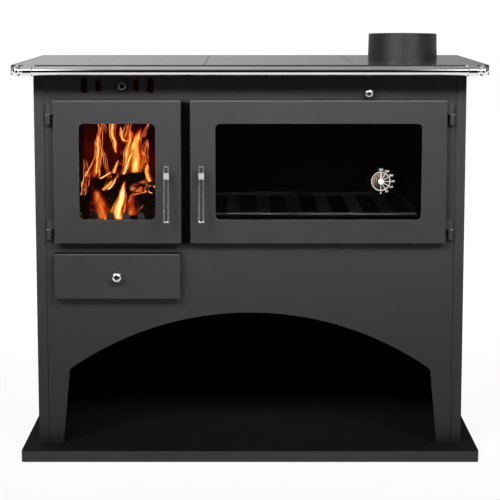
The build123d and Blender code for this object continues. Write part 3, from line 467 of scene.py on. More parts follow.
edge_group, start, end = new_group(
    "soft_edges",
    [("Radius", "NodeSocketFloat", 0.001), ("Breakup", "NodeSocketFloat", 60.0)],
    [("Mask", "NodeSocketFloat"), ("Normal", "NodeSocketVector")])
nodes, links = edge_group.nodes, edge_group.links
rounded = nodes.new("ShaderNodeBevel")
rounded.samples = BEVEL_SAMPLES
links.new(start.outputs["Radius"], rounded.inputs["Radius"])
likeness = nodes.new("ShaderNodeVectorMath")
likeness.operation = "DOT_PRODUCT"
links.new(rounded.outputs[0], likeness.inputs[0])
links.new(nodes.new("ShaderNodeNewGeometry").outputs["Normal"], likeness.inputs[1])
near_edge = ramp_between(nodes, links, likeness.outputs["Value"], FLAT, TURNED)
patches = nodes.new("ShaderNodeTexNoise")
links.new(place_on_piece(nodes), patches.inputs["Vector"])
links.new(start.outputs["Breakup"], patches.inputs["Scale"])
# The mask of a painted highlight near an edge, broken into patches.
edge_highlight = calculate(nodes, links, "MULTIPLY", near_edge,
                 ramp_between(nodes, links, patches.outputs["Fac"], HIGHLIGHT_BREAK_FROM, HIGHLIGHT_BREAK_TO))
links.new(edge_highlight, end.inputs["Mask"])
links.new(rounded.outputs[0], end.inputs["Normal"])
print("group:", edge_group.name)

# %% [markdown]
# ### Helpers that fill a material
# A material is a small tree that ends in a Principled shader. These helpers start one, open one
# that is there already, and add what most of them need: a node group, a blend of two colours
# and a relief.

# %% Material helpers


def new_material(name):
    """A material with its nodes, its links and its shader."""
    material = bpy.data.materials.new(name)
    material.use_nodes = True
    nodes, links = material.node_tree.nodes, material.node_tree.links
    return material, nodes, links, nodes["Principled BSDF"]


def open_material(material):
    """The nodes, the links and the shader of a finish that is there already."""
    nodes, links = material.node_tree.nodes, material.node_tree.links
    return nodes, links, nodes["Principled BSDF"]


def fed_by(shader, label):
    """The socket that one of the shader's sockets is linked to."""
    return shader.inputs[label].links[0].from_socket


def add_relief(nodes, links, height, distance, normal=None):
    """A Bump node over a height, on top of another normal if there is one."""
    bump = nodes.new("ShaderNodeBump")
    bump.inputs["Distance"].default_value = distance
    bump.inputs["Strength"].default_value = 1
    links.new(height, bump.inputs["Height"])
    if normal:
        links.new(normal, bump.inputs["Normal"])
    return bump.outputs["Normal"]


def add_group(nodes, group, **values):
    """Places a node group in a material and sets its inputs."""
    node = nodes.new("ShaderNodeGroup")
    node.node_tree = group
    for label, value in values.items():
        node.inputs[label].default_value = value
    return node


def blend_colours(nodes, links, factor, first, second):
    """A colour between two colours, each given or linked."""
    node = nodes.new("ShaderNodeMix")
    node.data_type = "RGBA"
    links.new(factor, node.inputs["Factor"])
    for socket, colour in ((node.inputs[6], first), (node.inputs[7], second)):
        if isinstance(colour, tuple):
            socket.default_value = (*colour, 1)
        else:
            links.new(colour, socket)
    return node.outputs[2]


print("material helpers ready")

# %% [markdown]
# ### One recipe for every solid finish
# No real surface is one flat colour. The tone drifts between two colours in large clouds, the
# roughness drifts in a fine grain, and the same grain gives the relief. Paint, steel, brick and
# rope then differ only in the values of this recipe.

# %% Helper that makes a finish
CLOUD_LOW, CLOUD_HIGH = 0.3, 0.7


def new_finish(name, dark, light, rough, cloud_scale=9.0, stretch=(1, 1, 1), metallic=0.0,
               relief=0.0, grain_scale=900.0, edge=None, edge_tone=None, **plain):
    """A finish: cloudy tone between two colours, roughness between two values, fine relief."""
    material, nodes, links, shader = new_material(name)
    shader.inputs["Metallic"].default_value = metallic
    for label, value in plain.items():
        shader.inputs[label.replace("_", " ")].default_value = value
    clouds = add_group(nodes, grain_group, Scale=cloud_scale, Stretch=stretch, Detail=4.0)
    drift = ramp_between(nodes, links, clouds.outputs["Value"], CLOUD_LOW, CLOUD_HIGH)
    colour = blend_colours(nodes, links, drift, dark, light)
    fine = add_group(nodes, grain_group, Scale=grain_scale, Stretch=stretch)
    normal = None
    if edge:
        edges = add_group(nodes, edge_group, Radius=edge)
        normal = edges.outputs["Normal"]
        # An edge tone is a painted highlight along the edges.
        if edge_tone:
            colour = blend_colours(nodes, links, edges.outputs["Mask"], colour, edge_tone)
    links.new(colour, shader.inputs["Base Color"])
    links.new(ramp_between(nodes, links, fine.outputs["Value"], CLOUD_LOW, CLOUD_HIGH, *rough),
              shader.inputs["Roughness"])
    if relief:
        normal = add_relief(nodes, links, fine.outputs["Value"], relief, normal)
    if normal:
        links.new(normal, shader.inputs["Normal"])
    return material


print("finish helper ready")

# %% [markdown]
# ## Anthracite paint
# The body and doors wear a heat-proof powder coat, almost black, with a dull sheen that lifts it to
# dark grey where the soft boxes stand across from it. The body's front is made of sheets that meet
# edge to edge, so its paint has no rounded edges: they would draw the joints that the real front
# doesn't have. Near the floor the body's coat is darker, a painted shade that a ramp over the
# height draws.

# %% Paints
COAT_DARK, COAT_LIGHT = (0.020, 0.020, 0.0208), (0.024, 0.024, 0.0248)
COAT_ROUGH, COAT_RELIEF = (0.48, 0.56), 0.00003
COAT_SHADED_LOW, SHADE_ENDS_HEIGHT = (0.005, 0.005, 0.0052), 0.50


def new_body_coat(name):
    """The coat of the body, with a painted shade that darkens it towards the floor."""
    material = new_finish(name, COAT_DARK, COAT_LIGHT, COAT_ROUGH, relief=COAT_RELIEF)
    nodes, links, shader = open_material(material)
    height = split(nodes, links, place_on_piece(nodes))["Z"]
    # Painted shade: the coat darkens from this height down to the floor.
    unshaded = ramp_between(nodes, links, height, 0.0, SHADE_ENDS_HEIGHT)
    links.new(blend_colours(nodes, links, unshaded, COAT_SHADED_LOW, fed_by(shader, "Base Color")),
              shader.inputs["Base Color"])
    return material


body_paint = new_body_coat("body_paint")
flue_black = new_finish("flue_black", grey(0.006), grey(0.009), (0.44, 0.54),
                        relief=0.00004, grain_scale=700.0, edge=0.0008, Specular_IOR_Level=0.38)
back_sheet = new_finish("back_sheet", (0.022, 0.022, 0.023), (0.032, 0.032, 0.033), (0.5, 0.65),
                        cloud_scale=6.0, relief=0.00004)
print("paints:", body_paint.name, flue_black.name, back_sheet.name)

# %% [markdown]
# ### Painted shade in matt black
# Four places get painted shade: matt black with no sheen. They are the front between the two doors,
# the top sides of the doors and the drawer, the base plate's top, and the walls inside the wood
# store. Each is only a part of a piece. It could have been cut out as faces of its own, but the CAD
# meshes stay as they are, so a mask paints it over by its place, inside limits along the axes.

# %% Helper that paints over a zone
MATT_BLACK = grey(0.0015)
DULL = 0.9
NO_SHEEN = 0.8


def overpaint(material, *limits, colour=MATT_BLACK, metal=NO_SHEEN):
    """Paints a finish matt inside limits, each an axis with an outer and an inner value.

    A black that is mostly metallic throws nothing back, because a metal mirrors only as much as
    its colour says, while every paint mirrors a little.
    """
    nodes, links, shader = open_material(material)
    spot = split(nodes, links, place_on_piece(nodes))
    mask = 1.0
    for axis, outer, inner in limits:
        inside = ramp_between(nodes, links, spot[axis], outer, inner)
        mask = calculate(nodes, links, "MULTIPLY", inside, mask)
    links.new(blend_colours(nodes, links, mask, fed_by(shader, "Base Color"), colour),
              shader.inputs["Base Color"])
    dulled = calculate(nodes, links, "MULTIPLY", mask, DULL)
    links.new(calculate(nodes, links, "MAXIMUM", fed_by(shader, "Roughness"), dulled),
              shader.inputs["Roughness"])
    if metal:
        links.new(calculate(nodes, links, "MULTIPLY", mask, metal), shader.inputs["Metallic"])
    return material


print("overpaint ready")

# %% [markdown]
# ### Painted shade between the doors
# The front between the two doors is painted black, as painted shade for the narrow gap there. The
# painted shade ends softly under the doors' edges, so an open door shows no hard line.

# %% Paint shade on the front between the doors
SHADE_LEFT, SHADE_RIGHT = (-0.170, -0.152), (-0.106, -0.122)
SHADE_FOOT, SHADE_TOP = (0.452, 0.468), (0.777, 0.764)
# Painted shade: matt black on the front in the gap between the doors.
post_paint = overpaint(new_body_coat("post_paint"), ("X", *SHADE_LEFT), ("X", *SHADE_RIGHT),
                       ("Z", *SHADE_FOOT), ("Z", *SHADE_TOP))
print("painted over:", post_paint.name)

# %% [markdown]
# ### Boxed fronts
# Doors and drawer are boxed from folded sheet. Every fold gets a painted highlight where the Bevel
# node finds an edge. The fold along the top catches most light of all, so it gets a painted
# highlight of its own, placed by its height. The top side behind it gets painted shade.

# %% Coat the doors and the drawer
COAT_EDGE_HIGHLIGHT, EDGE_RADIUS = (0.190, 0.190, 0.192), 0.0013
FOLD_HIGHLIGHT, FOLD_FROM, FOLD_FULL = grey(0.10), 0.0030, 0.0022
TOP_FROM, TOP_FULL = 0.0002, 0.0001


def new_boxed_coat(name, node):
    """The coat of a boxed front: painted highlights at its edges and its top fold, painted shade on
    top.
    """
    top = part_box(node)[1].z
    coat = new_finish(name, COAT_DARK, COAT_LIGHT, COAT_ROUGH, relief=COAT_RELIEF,
                      edge=EDGE_RADIUS, edge_tone=COAT_EDGE_HIGHLIGHT)
    # A painted highlight along the top fold, then painted shade on the top side behind it.
    overpaint(coat, ("Z", top - FOLD_FROM, top - FOLD_FULL), colour=FOLD_HIGHLIGHT, metal=None)
    return overpaint(coat, ("Z", top - TOP_FROM, top - TOP_FULL))


door_paint = new_boxed_coat("door_paint", "oven_door_frame")
drawer_paint = new_boxed_coat("drawer_paint", "ash_drawer_front")
print("boxed coats:", door_paint.name, drawer_paint.name)

# %% [markdown]
# ### Inside the wood store
# The side panels and the back are painted outside; inside, and on the base plate's top, they get a
# matt black painted shade. Each such side is found from the sheet's place, and the limit runs
# through the sheet, where nobody sees it. The roof of the store is painted black all over as shade.

# %% Paint shade on the plate, the walls and the back
SOFT = 0.0005
WALL_SKIN, BACK_SKIN = 0.001, 0.0005
FRONT_INSIDE = -0.203
PLATE_METAL = 0.5
plate_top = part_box("base_plate")[1].z
wall_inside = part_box("side_panel_right")[1].x - WALL_SKIN
back_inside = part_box("back_panel")[0].y + BACK_SKIN
behind_front = ("Y", FRONT_INSIDE, FRONT_INSIDE + SOFT)
# Painted shade: the base plate's top is matt black.
plate_paint = overpaint(
    new_finish("plate_paint", COAT_DARK, COAT_LIGHT, COAT_ROUGH, relief=COAT_RELIEF),
    ("Z", plate_top - SOFT, plate_top - SOFT / 3), metal=PLATE_METAL)
# Painted shade: matt black on the inner sides of the walls and of the back.
left_paint = overpaint(new_body_coat("left_paint"),
                       ("X", -wall_inside, -wall_inside + SOFT), behind_front)
right_paint = overpaint(new_body_coat("right_paint"),
                        ("X", wall_inside, wall_inside - SOFT), behind_front)
overpaint(back_sheet, ("Y", back_inside + SOFT, back_inside))
# The roof of the store: painted shade, black all over.
store_shade = new_finish("store_shade", MATT_BLACK, grey(0.003), (0.8, 0.95),
                         cloud_scale=5.0, relief=0.00004)
print("painted over:", plate_paint.name, left_paint.name, right_paint.name, back_sheet.name)

# %% [markdown]
# ## Steel
# The hob plates are ground steel: the grinding lines run from left to right, and the plate is
# smooth enough at this low angle to mirror the flue collar. Its rim is a polished trim, and
# rail, handles and knobs are chrome. A knob's face looks domed, because its finish rounds the
# normal far in from the edge. The hub of a handle is blasted, so it is dull. Plain steel parts
# inside keep their dark mill skin.

# %% Metals
ALONG_X = (0.05, 1, 1)
HUB_FOOT, HUB_TOP, HUB_SOFT, HUB_GREY = 0.6090, 0.6230, 0.0010, grey(0.52)
hob_steel = new_finish("hob_steel", grey(0.40), grey(0.50), (0.11, 0.16),
                       cloud_scale=14.0, stretch=(0.35, 1, 1), metallic=1.0, relief=0.000004,
                       grain_scale=1500.0)
trim_steel = new_finish("trim_steel", grey(0.20), grey(0.27), (0.15, 0.21),
                        stretch=ALONG_X, metallic=1.0, grain_scale=1200.0)
chrome = new_finish("chrome", (0.80, 0.80, 0.81), (0.86, 0.86, 0.87), (0.03, 0.06),
                    cloud_scale=30.0, metallic=1.0)
handle_nickel = new_finish("handle_nickel", (0.74, 0.74, 0.75), (0.82, 0.82, 0.83), (0.08, 0.14),
                           cloud_scale=60.0, metallic=1.0, edge=0.0026)
overpaint(handle_nickel, ("Z", HUB_TOP, HUB_TOP - HUB_SOFT), ("Z", HUB_FOOT, HUB_FOOT + HUB_SOFT),
          colour=HUB_GREY, metal=None)
knob_chrome = new_finish("knob_chrome", (0.80, 0.80, 0.81), (0.86, 0.86, 0.87), (0.06, 0.10),
                         cloud_scale=30.0, metallic=1.0, edge=0.0065)
# The air knob's chrome is darker: painted shade from the hob above it.
shaded_chrome = new_finish("shaded_chrome", grey(0.16), grey(0.22), (0.10, 0.16),
                         cloud_scale=30.0, metallic=1.0, edge=0.003)
tray_steel = new_finish("tray_steel", grey(0.10), grey(0.15), (0.40, 0.52),
                        stretch=ALONG_X, metallic=0.8)
mill_steel = new_finish("mill_steel", (0.035, 0.034, 0.034), (0.07, 0.066, 0.062), (0.5, 0.7),
                        cloud_scale=18.0, metallic=0.6, relief=0.00005)
ash_steel = new_finish("ash_steel", (0.16, 0.16, 0.165), (0.28, 0.28, 0.29), (0.4, 0.6),
                       cloud_scale=60.0, metallic=0.8, relief=0.00004)
zinc = new_finish("zinc", (0.30, 0.30, 0.31), grey(0.46), (0.3, 0.45),
                  cloud_scale=90.0, metallic=1.0)
cast_iron = new_finish("cast_iron", (0.022, 0.021, 0.021), (0.05, 0.047, 0.045), (0.55, 0.75),
                       cloud_scale=35.0, metallic=0.3, relief=0.0003, grain_scale=500.0)
# The log guard's iron is lighter than the grate's: painted light for the lamp light that the door
# glass keeps from it.
guard_iron_lit = new_finish("guard_iron_lit", (0.045, 0.048, 0.047), (0.075, 0.080, 0.078), (0.5, 0.65),
                        cloud_scale=35.0, relief=0.0002, grain_scale=500.0)
print("metals ready")

# %% [markdown]
# ### Where the rings meet the plate
# Soot and wear darken a thin line on the hob along each seam of the cooking ring and its lid. The
# line is found from the distance to the ring's centre, so it stays on the seam's circle.

# %% Darken the hob along its round seams
SEAM_HALF, SEAM_DARK = 0.0022, grey(0.10)
nodes, links, shader = open_material(hob_steel)
seam = 0.0
for ring in ("cooking_ring", "ring_lid"):
    ring_low, ring_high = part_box(ring)
    centre = ((ring_low.x + ring_high.x) / 2, (ring_low.y + ring_high.y) / 2, ring_high.z)
    past = calculate(nodes, links, "SUBTRACT", distance_from(nodes, links, centre),
                     (ring_high.x - ring_low.x) / 2)
    line = ramp_between(nodes, links, calculate(nodes, links, "ABSOLUTE", past, 0),
                        SEAM_HALF, SEAM_HALF / 3)
    seam = calculate(nodes, links, "MAXIMUM", line, seam)
links.new(blend_colours(nodes, links, seam, fed_by(shader, "Base Color"), SEAM_DARK),
          shader.inputs["Base Color"])
print("seams darkened")

# %% [markdown]
# ## Enamel, brick, rope and the thermometer's parts
# The oven is enamelled black. Its tray has raised ribs in a lighter tone, and the floor between
# them is painted over black as painted shade. The firebox is lined with vermiculite brick that soot
# has darkened, and both doors seal on a braided glass-fibre rope.

# %% Other solid finishes
TRAY_FLOOR, TRAY_RIBS = 0.0040, 0.0048
enamel = new_finish("oven_enamel", grey(0.0012), grey(0.0024), (0.22, 0.34), cloud_scale=12.0,
                    metallic=NO_SHEEN, relief=0.00003, grain_scale=1400.0)
tray_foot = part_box("oven_tray")[0].z
# The floor between the ribs is painted black: painted shade.
tray_enamel = overpaint(new_finish("tray_enamel", grey(0.045), grey(0.065), (0.30, 0.42)),
                        ("Z", tray_foot + TRAY_RIBS, tray_foot + TRAY_FLOOR))
sooty_firelit_brick = new_finish("sooty_firelit_brick", (0.012, 0.005, 0.004), (0.050, 0.018, 0.011),
                         (0.85, 0.98), cloud_scale=11.0, relief=0.0008, grain_scale=260.0,
                         Emission_Strength=1.0)
seal_rope = new_finish("seal_rope", grey(0.03), (0.09, 0.088, 0.085), (0.85, 1.0),
                       cloud_scale=260.0, relief=0.0008, grain_scale=420.0)
dial_black = new_finish("dial_black", grey(0.0008), grey(0.001), (0.12, 0.2))
bimetal = new_finish("bimetal", (0.42, 0.24, 0.17), (0.60, 0.42, 0.33), (0.22, 0.35),
                     cloud_scale=120.0, metallic=0.3)
pointer_white = new_finish("pointer_white", (0.62, 0.52, 0.49), (0.70, 0.60, 0.57), (0.35, 0.45),
                           cloud_scale=120.0)
print("other finishes ready")

# %% [markdown]
# ### The thermometer's coil and hub
# The outer ring of the bimetal coil is silvery. The rings inside it are copper where the light
# falls on them from the upper left, and nearly black on the other side. The hub in front of them
# is white enamel. All this is small, so it is coloured by place: the distance from the dial's
# centre tells the rings apart, and the way to the upper left tells lit from dark.

# %% Colour the coil and the hub
COIL_DEPTH, OUTER_RING = 0.003, (0.0174, 0.0178)
LIT_SIDE = (-0.008, 0.020)
COIL_SHADE, COIL_SILVER, HUB_WHITE = (0.035, 0.020, 0.014), (0.62, 0.57, 0.54), (0.84, 0.81, 0.79)
HUB_BACK, HUB_FACE = 0.0012, 0.0009
dial_low, dial_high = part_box("thermometer_dial")
dial_x, dial_z = (dial_low.x + dial_high.x) / 2, (dial_low.z + dial_high.z) / 2
coil_centre = (dial_x, dial_low.y + COIL_DEPTH, dial_z)
nodes, links, shader = open_material(bimetal)
outer_ring = ramp_between(nodes, links, distance_from(nodes, links, coil_centre), *OUTER_RING)
offset = nodes.new("ShaderNodeVectorMath")
offset.operation = "SUBTRACT"
links.new(place_on_piece(nodes), offset.inputs[0])
offset.inputs[1].default_value = coil_centre
sides = split(nodes, links, offset.outputs[0])
to_corner = calculate(nodes, links, "SUBTRACT", sides["Z"], sides["X"])
shone_on = ramp_between(nodes, links, to_corner, *LIT_SIDE)
inner = blend_colours(nodes, links, shone_on, COIL_SHADE, fed_by(shader, "Base Color"))
links.new(blend_colours(nodes, links, outer_ring, inner, COIL_SILVER),
          shader.inputs["Base Color"])
overpaint(dial_black, ("Y", dial_low.y + HUB_BACK, dial_low.y + HUB_FACE), colour=HUB_WHITE,
          metal=None)
print("dial centre:", round(dial_x, 4), round(dial_z, 4))

# %% [markdown]
# ### Painted firelight on the bricks
# Behind the flames the lining glows dull red on the left, where the fire leans against it, and
# fainter red low on the right: painted light from the fire, given as emission. Everywhere else it
# is nearly black. A soft ball of red round each lit spot does that, broken by clouds.

# %% Paint firelight on the bricks
FIRELIT_SPOTS = [
    # place, reach, strength of the painted firelight
    ((-0.352, 0.16, 0.640), 0.120, 0.9),
    ((-0.190, 0.16, 0.595), 0.105, 1.0),
    ((-0.380, -0.15, 0.525), 0.070, 0.5),
]
BRICK_LEAST_FIRELIGHT, BRICK_MOST_FIRELIGHT = (0.0012, 0.0, 0.0), (0.130, 0.0045, 0.0006)
PATCH_SCALE, PATCH_DIMMEST = 16.0, 0.12
nodes, links, shader = open_material(sooty_firelit_brick)
firelight = 0.0
for place, reach, heat in FIRELIT_SPOTS:
    ball = ramp_between(nodes, links, distance_from(nodes, links, place), reach, 0.0, 0.0, heat)
    firelight = calculate(nodes, links, "MAXIMUM", ball, firelight)
patches = add_group(nodes, grain_group, Scale=PATCH_SCALE, Detail=4.0)
broken = ramp_between(nodes, links, patches.outputs["Value"], CLOUD_LOW, CLOUD_HIGH,
                      PATCH_DIMMEST, 1.0)
# The painted firelight, broken into patches by clouds.
heat = calculate(nodes, links, "MULTIPLY", firelight, broken)
links.new(blend_colours(nodes, links, heat, BRICK_LEAST_FIRELIGHT, BRICK_MOST_FIRELIGHT),
          shader.inputs["Emission Color"])
print("hot spots:", len(FIRELIT_SPOTS))

# %% [markdown]
# ## Door glass
# The panes are thick heat-proof glass, faintly smoked. A plain transmission keeps them glass
# wherever the model goes, and the dark room in front keeps their face black.

# %% Glass
GLASS_TINT, GLASS_IOR = (0.82, 0.81, 0.79), 1.45
FILM_SCALE, FILM_LOW, FILM_HIGH, FILM_ROUGH = 25.0, 0.35, 0.75, 0.02
door_glass, nodes, links, shader = new_material("door_glass")
shader.inputs["Base Color"].default_value = (*GLASS_TINT, 1)
shader.inputs["Transmission Weight"].default_value = 1
shader.inputs["IOR"].default_value = GLASS_IOR
film = add_group(nodes, grain_group, Scale=FILM_SCALE, Detail=5.0)
links.new(ramp_between(nodes, links, film.outputs["Value"], FILM_LOW, FILM_HIGH, 0.0, FILM_ROUGH),
          shader.inputs["Roughness"])
print("glass:", door_glass.name)

# %% [markdown]
# ## Dress the CAD parts
# Each CAD solid arrives with the name of its finish. Those names choose the material, and some
# pieces get one of their own, such as the sheets of the front, the walls of the wood store, the
# hob's polished rim and the handles.

# %% Give every CAD solid its finish
FINISH_OF_SLOT = {
    "anthracite_paint": door_paint, "back_steel": back_sheet, "flue_paint": flue_black,
    "hob_steel": hob_steel, "chrome": chrome, "door_glass": door_glass,
    "mild_steel": mill_steel, "oven_enamel": enamel, "ash_steel": ash_steel,
    "cast_iron": cast_iron, "firebrick": sooty_firelit_brick, "seal_rope": seal_rope,
    "dial_face": dial_black, "bimetal": bimetal, "pointer_paint": pointer_white, "zinc": zinc,
}
OWN_FINISH = {
    "hob_frame": trim_steel, "front_rails": post_paint, "front_posts": post_paint,
    "arch_panel_left": body_paint, "arch_panel_right": body_paint,
    "fire_door_handle": handle_nickel, "oven_door_handle": handle_nickel,
    "base_plate": plate_paint, "wood_store_roof": store_shade, "log_guard": guard_iron_lit,
    "side_panel_left": left_paint, "side_panel_right": right_paint,
    "damper_knob": knob_chrome, "ash_drawer_knob": knob_chrome, "air_knob": shaded_chrome,
    "oven_tray_rim": tray_steel, "oven_tray": tray_enamel, "ash_drawer_front": drawer_paint,
}
dressed = 0
for node, item in cad.items():
    for place, material in enumerate(item.data.materials):
        item.data.materials[place] = OWN_FINISH.get(node) or FINISH_OF_SLOT[material.name]
        dressed += 1
print("dressed slots:", dressed)

# %% [markdown]
# ## The logs
# A fire needs something to burn. The sticks in it are burnt to different depths: some are black,
# some still hold a red heat, and one end of a stick glows bright. One helper makes all these
# finishes from cells of char with cracks between them, and the heat shows in patches.

# %% Char and glowing wood
CHAR_SCALE, CHAR_RELIEF, CHAR_ROUGH = 130.0, 0.002, 0.9
CRACK_FROM, CRACK_FULL = 0.25, 0.75
CELL_FROM, CELL_FULL, CELL_COLD = 0.1, 0.6, 0.35
CHAR_BLACK = (0.003, 0.002, 0.002)
NO_GLOW, RED_GLOW, WHITE_GLOW = grey(0.0), (0.55, 0.035, 0.003), (1.0, 0.42, 0.12)
WHITE_POWER = 3.0


def new_char(name, glow_from, glow_width, strength, wood, heat_scale=58.0):
    """Burnt wood: black and cracked, with fire where the heat is still in it."""
    material, nodes, links, shader = new_material(name)
    shader.inputs["Roughness"].default_value = CHAR_ROUGH
    shader.inputs["Emission Strength"].default_value = strength
    cells = nodes.new("ShaderNodeTexVoronoi")
    cells.inputs["Scale"].default_value = CHAR_SCALE
    links.new(place_on_piece(nodes), cells.inputs["Vector"])
    to_cell = cells.outputs["Distance"]
    heat = add_group(nodes, grain_group, Scale=heat_scale, Detail=5.0)
    hot = ramp_between(nodes, links, heat.outputs["Value"], glow_from, glow_from + glow_width)
    crack = ramp_between(nodes, links, to_cell, CRACK_FROM, CRACK_FULL)
    broken = calculate(nodes, links, "MULTIPLY", hot, ramp_between(
        nodes, links, to_cell, CELL_FROM, CELL_FULL, CELL_COLD, 1.0))
    links.new(blend_colours(nodes, links, crack, wood, CHAR_BLACK), shader.inputs["Base Color"])
    warm = blend_colours(nodes, links, broken, NO_GLOW, RED_GLOW)
    hottest = calculate(nodes, links, "POWER", broken, WHITE_POWER)
    links.new(blend_colours(nodes, links, hottest, warm, WHITE_GLOW),
              shader.inputs["Emission Color"])
    links.new(add_relief(nodes, links, to_cell, CHAR_RELIEF), shader.inputs["Normal"])
    return material


charred_wood = new_char("charred_wood", 0.60, 0.20, 0.5, (0.010, 0.003, 0.002))
ember_coal = new_char("ember_coal", 0.40, 0.30, 1.3, (0.022, 0.006, 0.004))
ember_rim = new_char("ember_rim", 0.50, 0.10, 2.6, (0.06, 0.010, 0.004), heat_scale=150.0)
red_log = new_char("red_log", 0.44, 0.30, 0.7, (0.030, 0.002, 0.001))
print("fire finishes:", charred_wood.name, ember_coal.name, ember_rim.name, red_log.name)

# %% [markdown]
# ### One log as a master
# All the sticks are alike, so one is modelled and copied. It starts as a cylinder, its long
# edges are cut into rings that the bark can bend, and its ends are inset, so that a rim of their
# own can glow while the heart stays dark.

# %% Model one log
LOG_SIDES, LOG_RINGS = 20, 9
RIM_WIDTH, HEART_INSETS = 0.22, (0.3, 0.25)
BLACK, RIM, RED = range(3)

deselect()
bpy.ops.mesh.primitive_cylinder_add(vertices=LOG_SIDES, radius=1, depth=1, end_fill_type="NGON")
log_master = bpy.context.object
for finish in (charred_wood, ember_rim, red_log):
    log_master.data.materials.append(finish)


def runs_along(edge):
    """Whether an edge of the master runs from end to end."""
    ends = [log_master.data.vertices[index].co.z for index in edge.vertices]
    return abs(ends[0] - ends[1]) > 0.5


def on_end(face):
    """Whether a face of the master lies on one of its ends."""
    return abs(face.normal.z) > 0.9


bpy.ops.object.mode_set(mode="EDIT")
select_where(log_master, "EDGE", runs_along)
bpy.ops.mesh.subdivide(number_cuts=LOG_RINGS)
select_where(log_master, "FACE", on_end)
bpy.ops.mesh.inset(thickness=RIM_WIDTH, use_individual=True)
bpy.ops.object.mode_set(mode="OBJECT")
for face in log_master.data.polygons:
    face.material_index = RIM if on_end(face) and len(face.vertices) == 4 else BLACK
bpy.ops.object.mode_set(mode="EDIT")
for width in HEART_INSETS:
    bpy.ops.mesh.inset(thickness=width, use_individual=True)
bpy.ops.mesh.poke()
bpy.ops.object.mode_set(mode="OBJECT")
print("log faces:", len(log_master.data.polygons))

# %% [markdown]
# ### The pile
# Thick sticks lie on the grate from front to back, thinner ones cross them, and one leans against
# the pile, as a stoker would build it. Each copy is stretched between the two ends given here,
# and a cloud texture in world coordinates makes every one rugged in its own way.

# %% Stack the logs on the grate
grate_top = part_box("grate")[1].z
LOG_ENDS = [
    # one end, other end, radius, body finish, end finish
    ((-0.345, -0.105, 0.497), (-0.340, 0.110, 0.497), 0.018, RED, BLACK),
    ((-0.300, -0.085, 0.495), (-0.296, 0.115, 0.497), 0.016, RED, BLACK),
    ((-0.258, -0.100, 0.496), (-0.255, 0.110, 0.496), 0.017, BLACK, BLACK),
    ((-0.216, -0.110, 0.498), (-0.222, 0.110, 0.498), 0.018, BLACK, BLACK),
    ((-0.372, 0.050, 0.530), (-0.262, -0.010, 0.527), 0.015, BLACK, BLACK),
    ((-0.318, 0.060, 0.525), (-0.206, 0.030, 0.528), 0.014, RED, BLACK),
    ((-0.346, -0.085, 0.528), (-0.338, 0.060, 0.530), 0.013, RED, BLACK),
    ((-0.236, -0.060, 0.527), (-0.230, 0.050, 0.530), 0.013, BLACK, BLACK),
    ((-0.356, -0.070, 0.566), (-0.284, -0.086, 0.540), 0.0095, BLACK, BLACK),
    ((-0.280, -0.080, 0.546), (-0.208, -0.076, 0.554), 0.0105, BLACK, BLACK),
    ((-0.217, -0.092, 0.569), (-0.224, 0.020, 0.560), 0.0095, BLACK, RIM),
    ((-0.268, -0.050, 0.566), (-0.228, -0.052, 0.578), 0.0095, RED, RED),
    ((-0.290, -0.045, 0.589), (-0.234, -0.048, 0.596), 0.0090, BLACK, BLACK),
    ((-0.330, 0.060, 0.545), (-0.276, 0.010, 0.652), 0.0105, RED, BLACK),
    ((-0.268, 0.070, 0.540), (-0.262, 0.060, 0.610), 0.0120, BLACK, BLACK),
]
BARK_DEPTH, BARK_LEVEL, BARK_SIZE = 0.45, 0.55, 0.016
bark = bpy.data.textures.new("bark", "CLOUDS")
bark.noise_scale = BARK_SIZE
logs = []
for first, second, radius, body, end in LOG_ENDS:
    first, second = Vector(first), Vector(second)
    log = copy_piece(log_master)
    for face in log.data.polygons:
        face.material_index = end if face.material_index == RIM else body
    log.scale = (radius, radius, (second - first).length)
    log.location = (first + second) / 2
    log.rotation_euler = (second - first).to_track_quat("Z", "Y").to_euler()
    settle(log, "log")
    displace(log, "knots", bark, radius * BARK_DEPTH, mid_level=BARK_LEVEL)
    logs.append(log)
bpy.data.objects.remove(log_master)
fire_logs = join(logs, "fire_logs")
outward(fire_logs)
bpy.ops.object.shade_smooth_by_angle(angle=radians(40))
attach(fire_logs, "root")
print("logs:", len(LOG_ENDS), "faces:", len(fire_logs.data.polygons))

# %% [markdown]
# ## The ember bed
# Under the logs lies a bed of glowing coals. Hundreds of single coals would cost many faces that
# the logs hide, so it is one fine grid with lumps pushed into it, which is then given a flat foot
# on the grate.

# %% Heap the embers
BED_MARGIN_X, BED_MARGIN_Y, BED_HEIGHT, BED_FOOT = 0.012, 0.02, 0.010, 0.0008
BED_COLUMNS, BED_ROWS, LUMP_SIZE = 60, 84, 0.018
deselect()
bed_low, bed_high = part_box("grate")
bpy.ops.mesh.primitive_grid_add(x_subdivisions=BED_COLUMNS, y_subdivisions=BED_ROWS, size=1)
embers = bpy.context.object
embers.scale = (bed_high.x - bed_low.x - BED_MARGIN_X, bed_high.y - bed_low.y - BED_MARGIN_Y, 1)
embers.location = ((bed_low.x + bed_high.x) / 2, (bed_low.y + bed_high.y) / 2,
                   grate_top + BED_HEIGHT)
settle(embers, "ember_bed")
lumps = bpy.data.textures.new("lumps", "VORONOI")
lumps.noise_scale = LUMP_SIZE
displace(embers, "heap", lumps, LUMP_SIZE)
bpy.ops.object.mode_set(mode="EDIT")
bpy.ops.mesh.select_all(action="SELECT")
bpy.ops.mesh.extrude_region_move(TRANSFORM_OT_translate={"value": (0, 0, -BED_HEIGHT)})
bpy.ops.transform.resize(value=(1, 1, 0), center_override=(0, 0, grate_top + BED_FOOT))
bpy.ops.object.mode_set(mode="OBJECT")
embers.data.materials.append(ember_coal)
outward(embers)
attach(embers, "root")
print("ember faces:", len(embers.data.polygons))

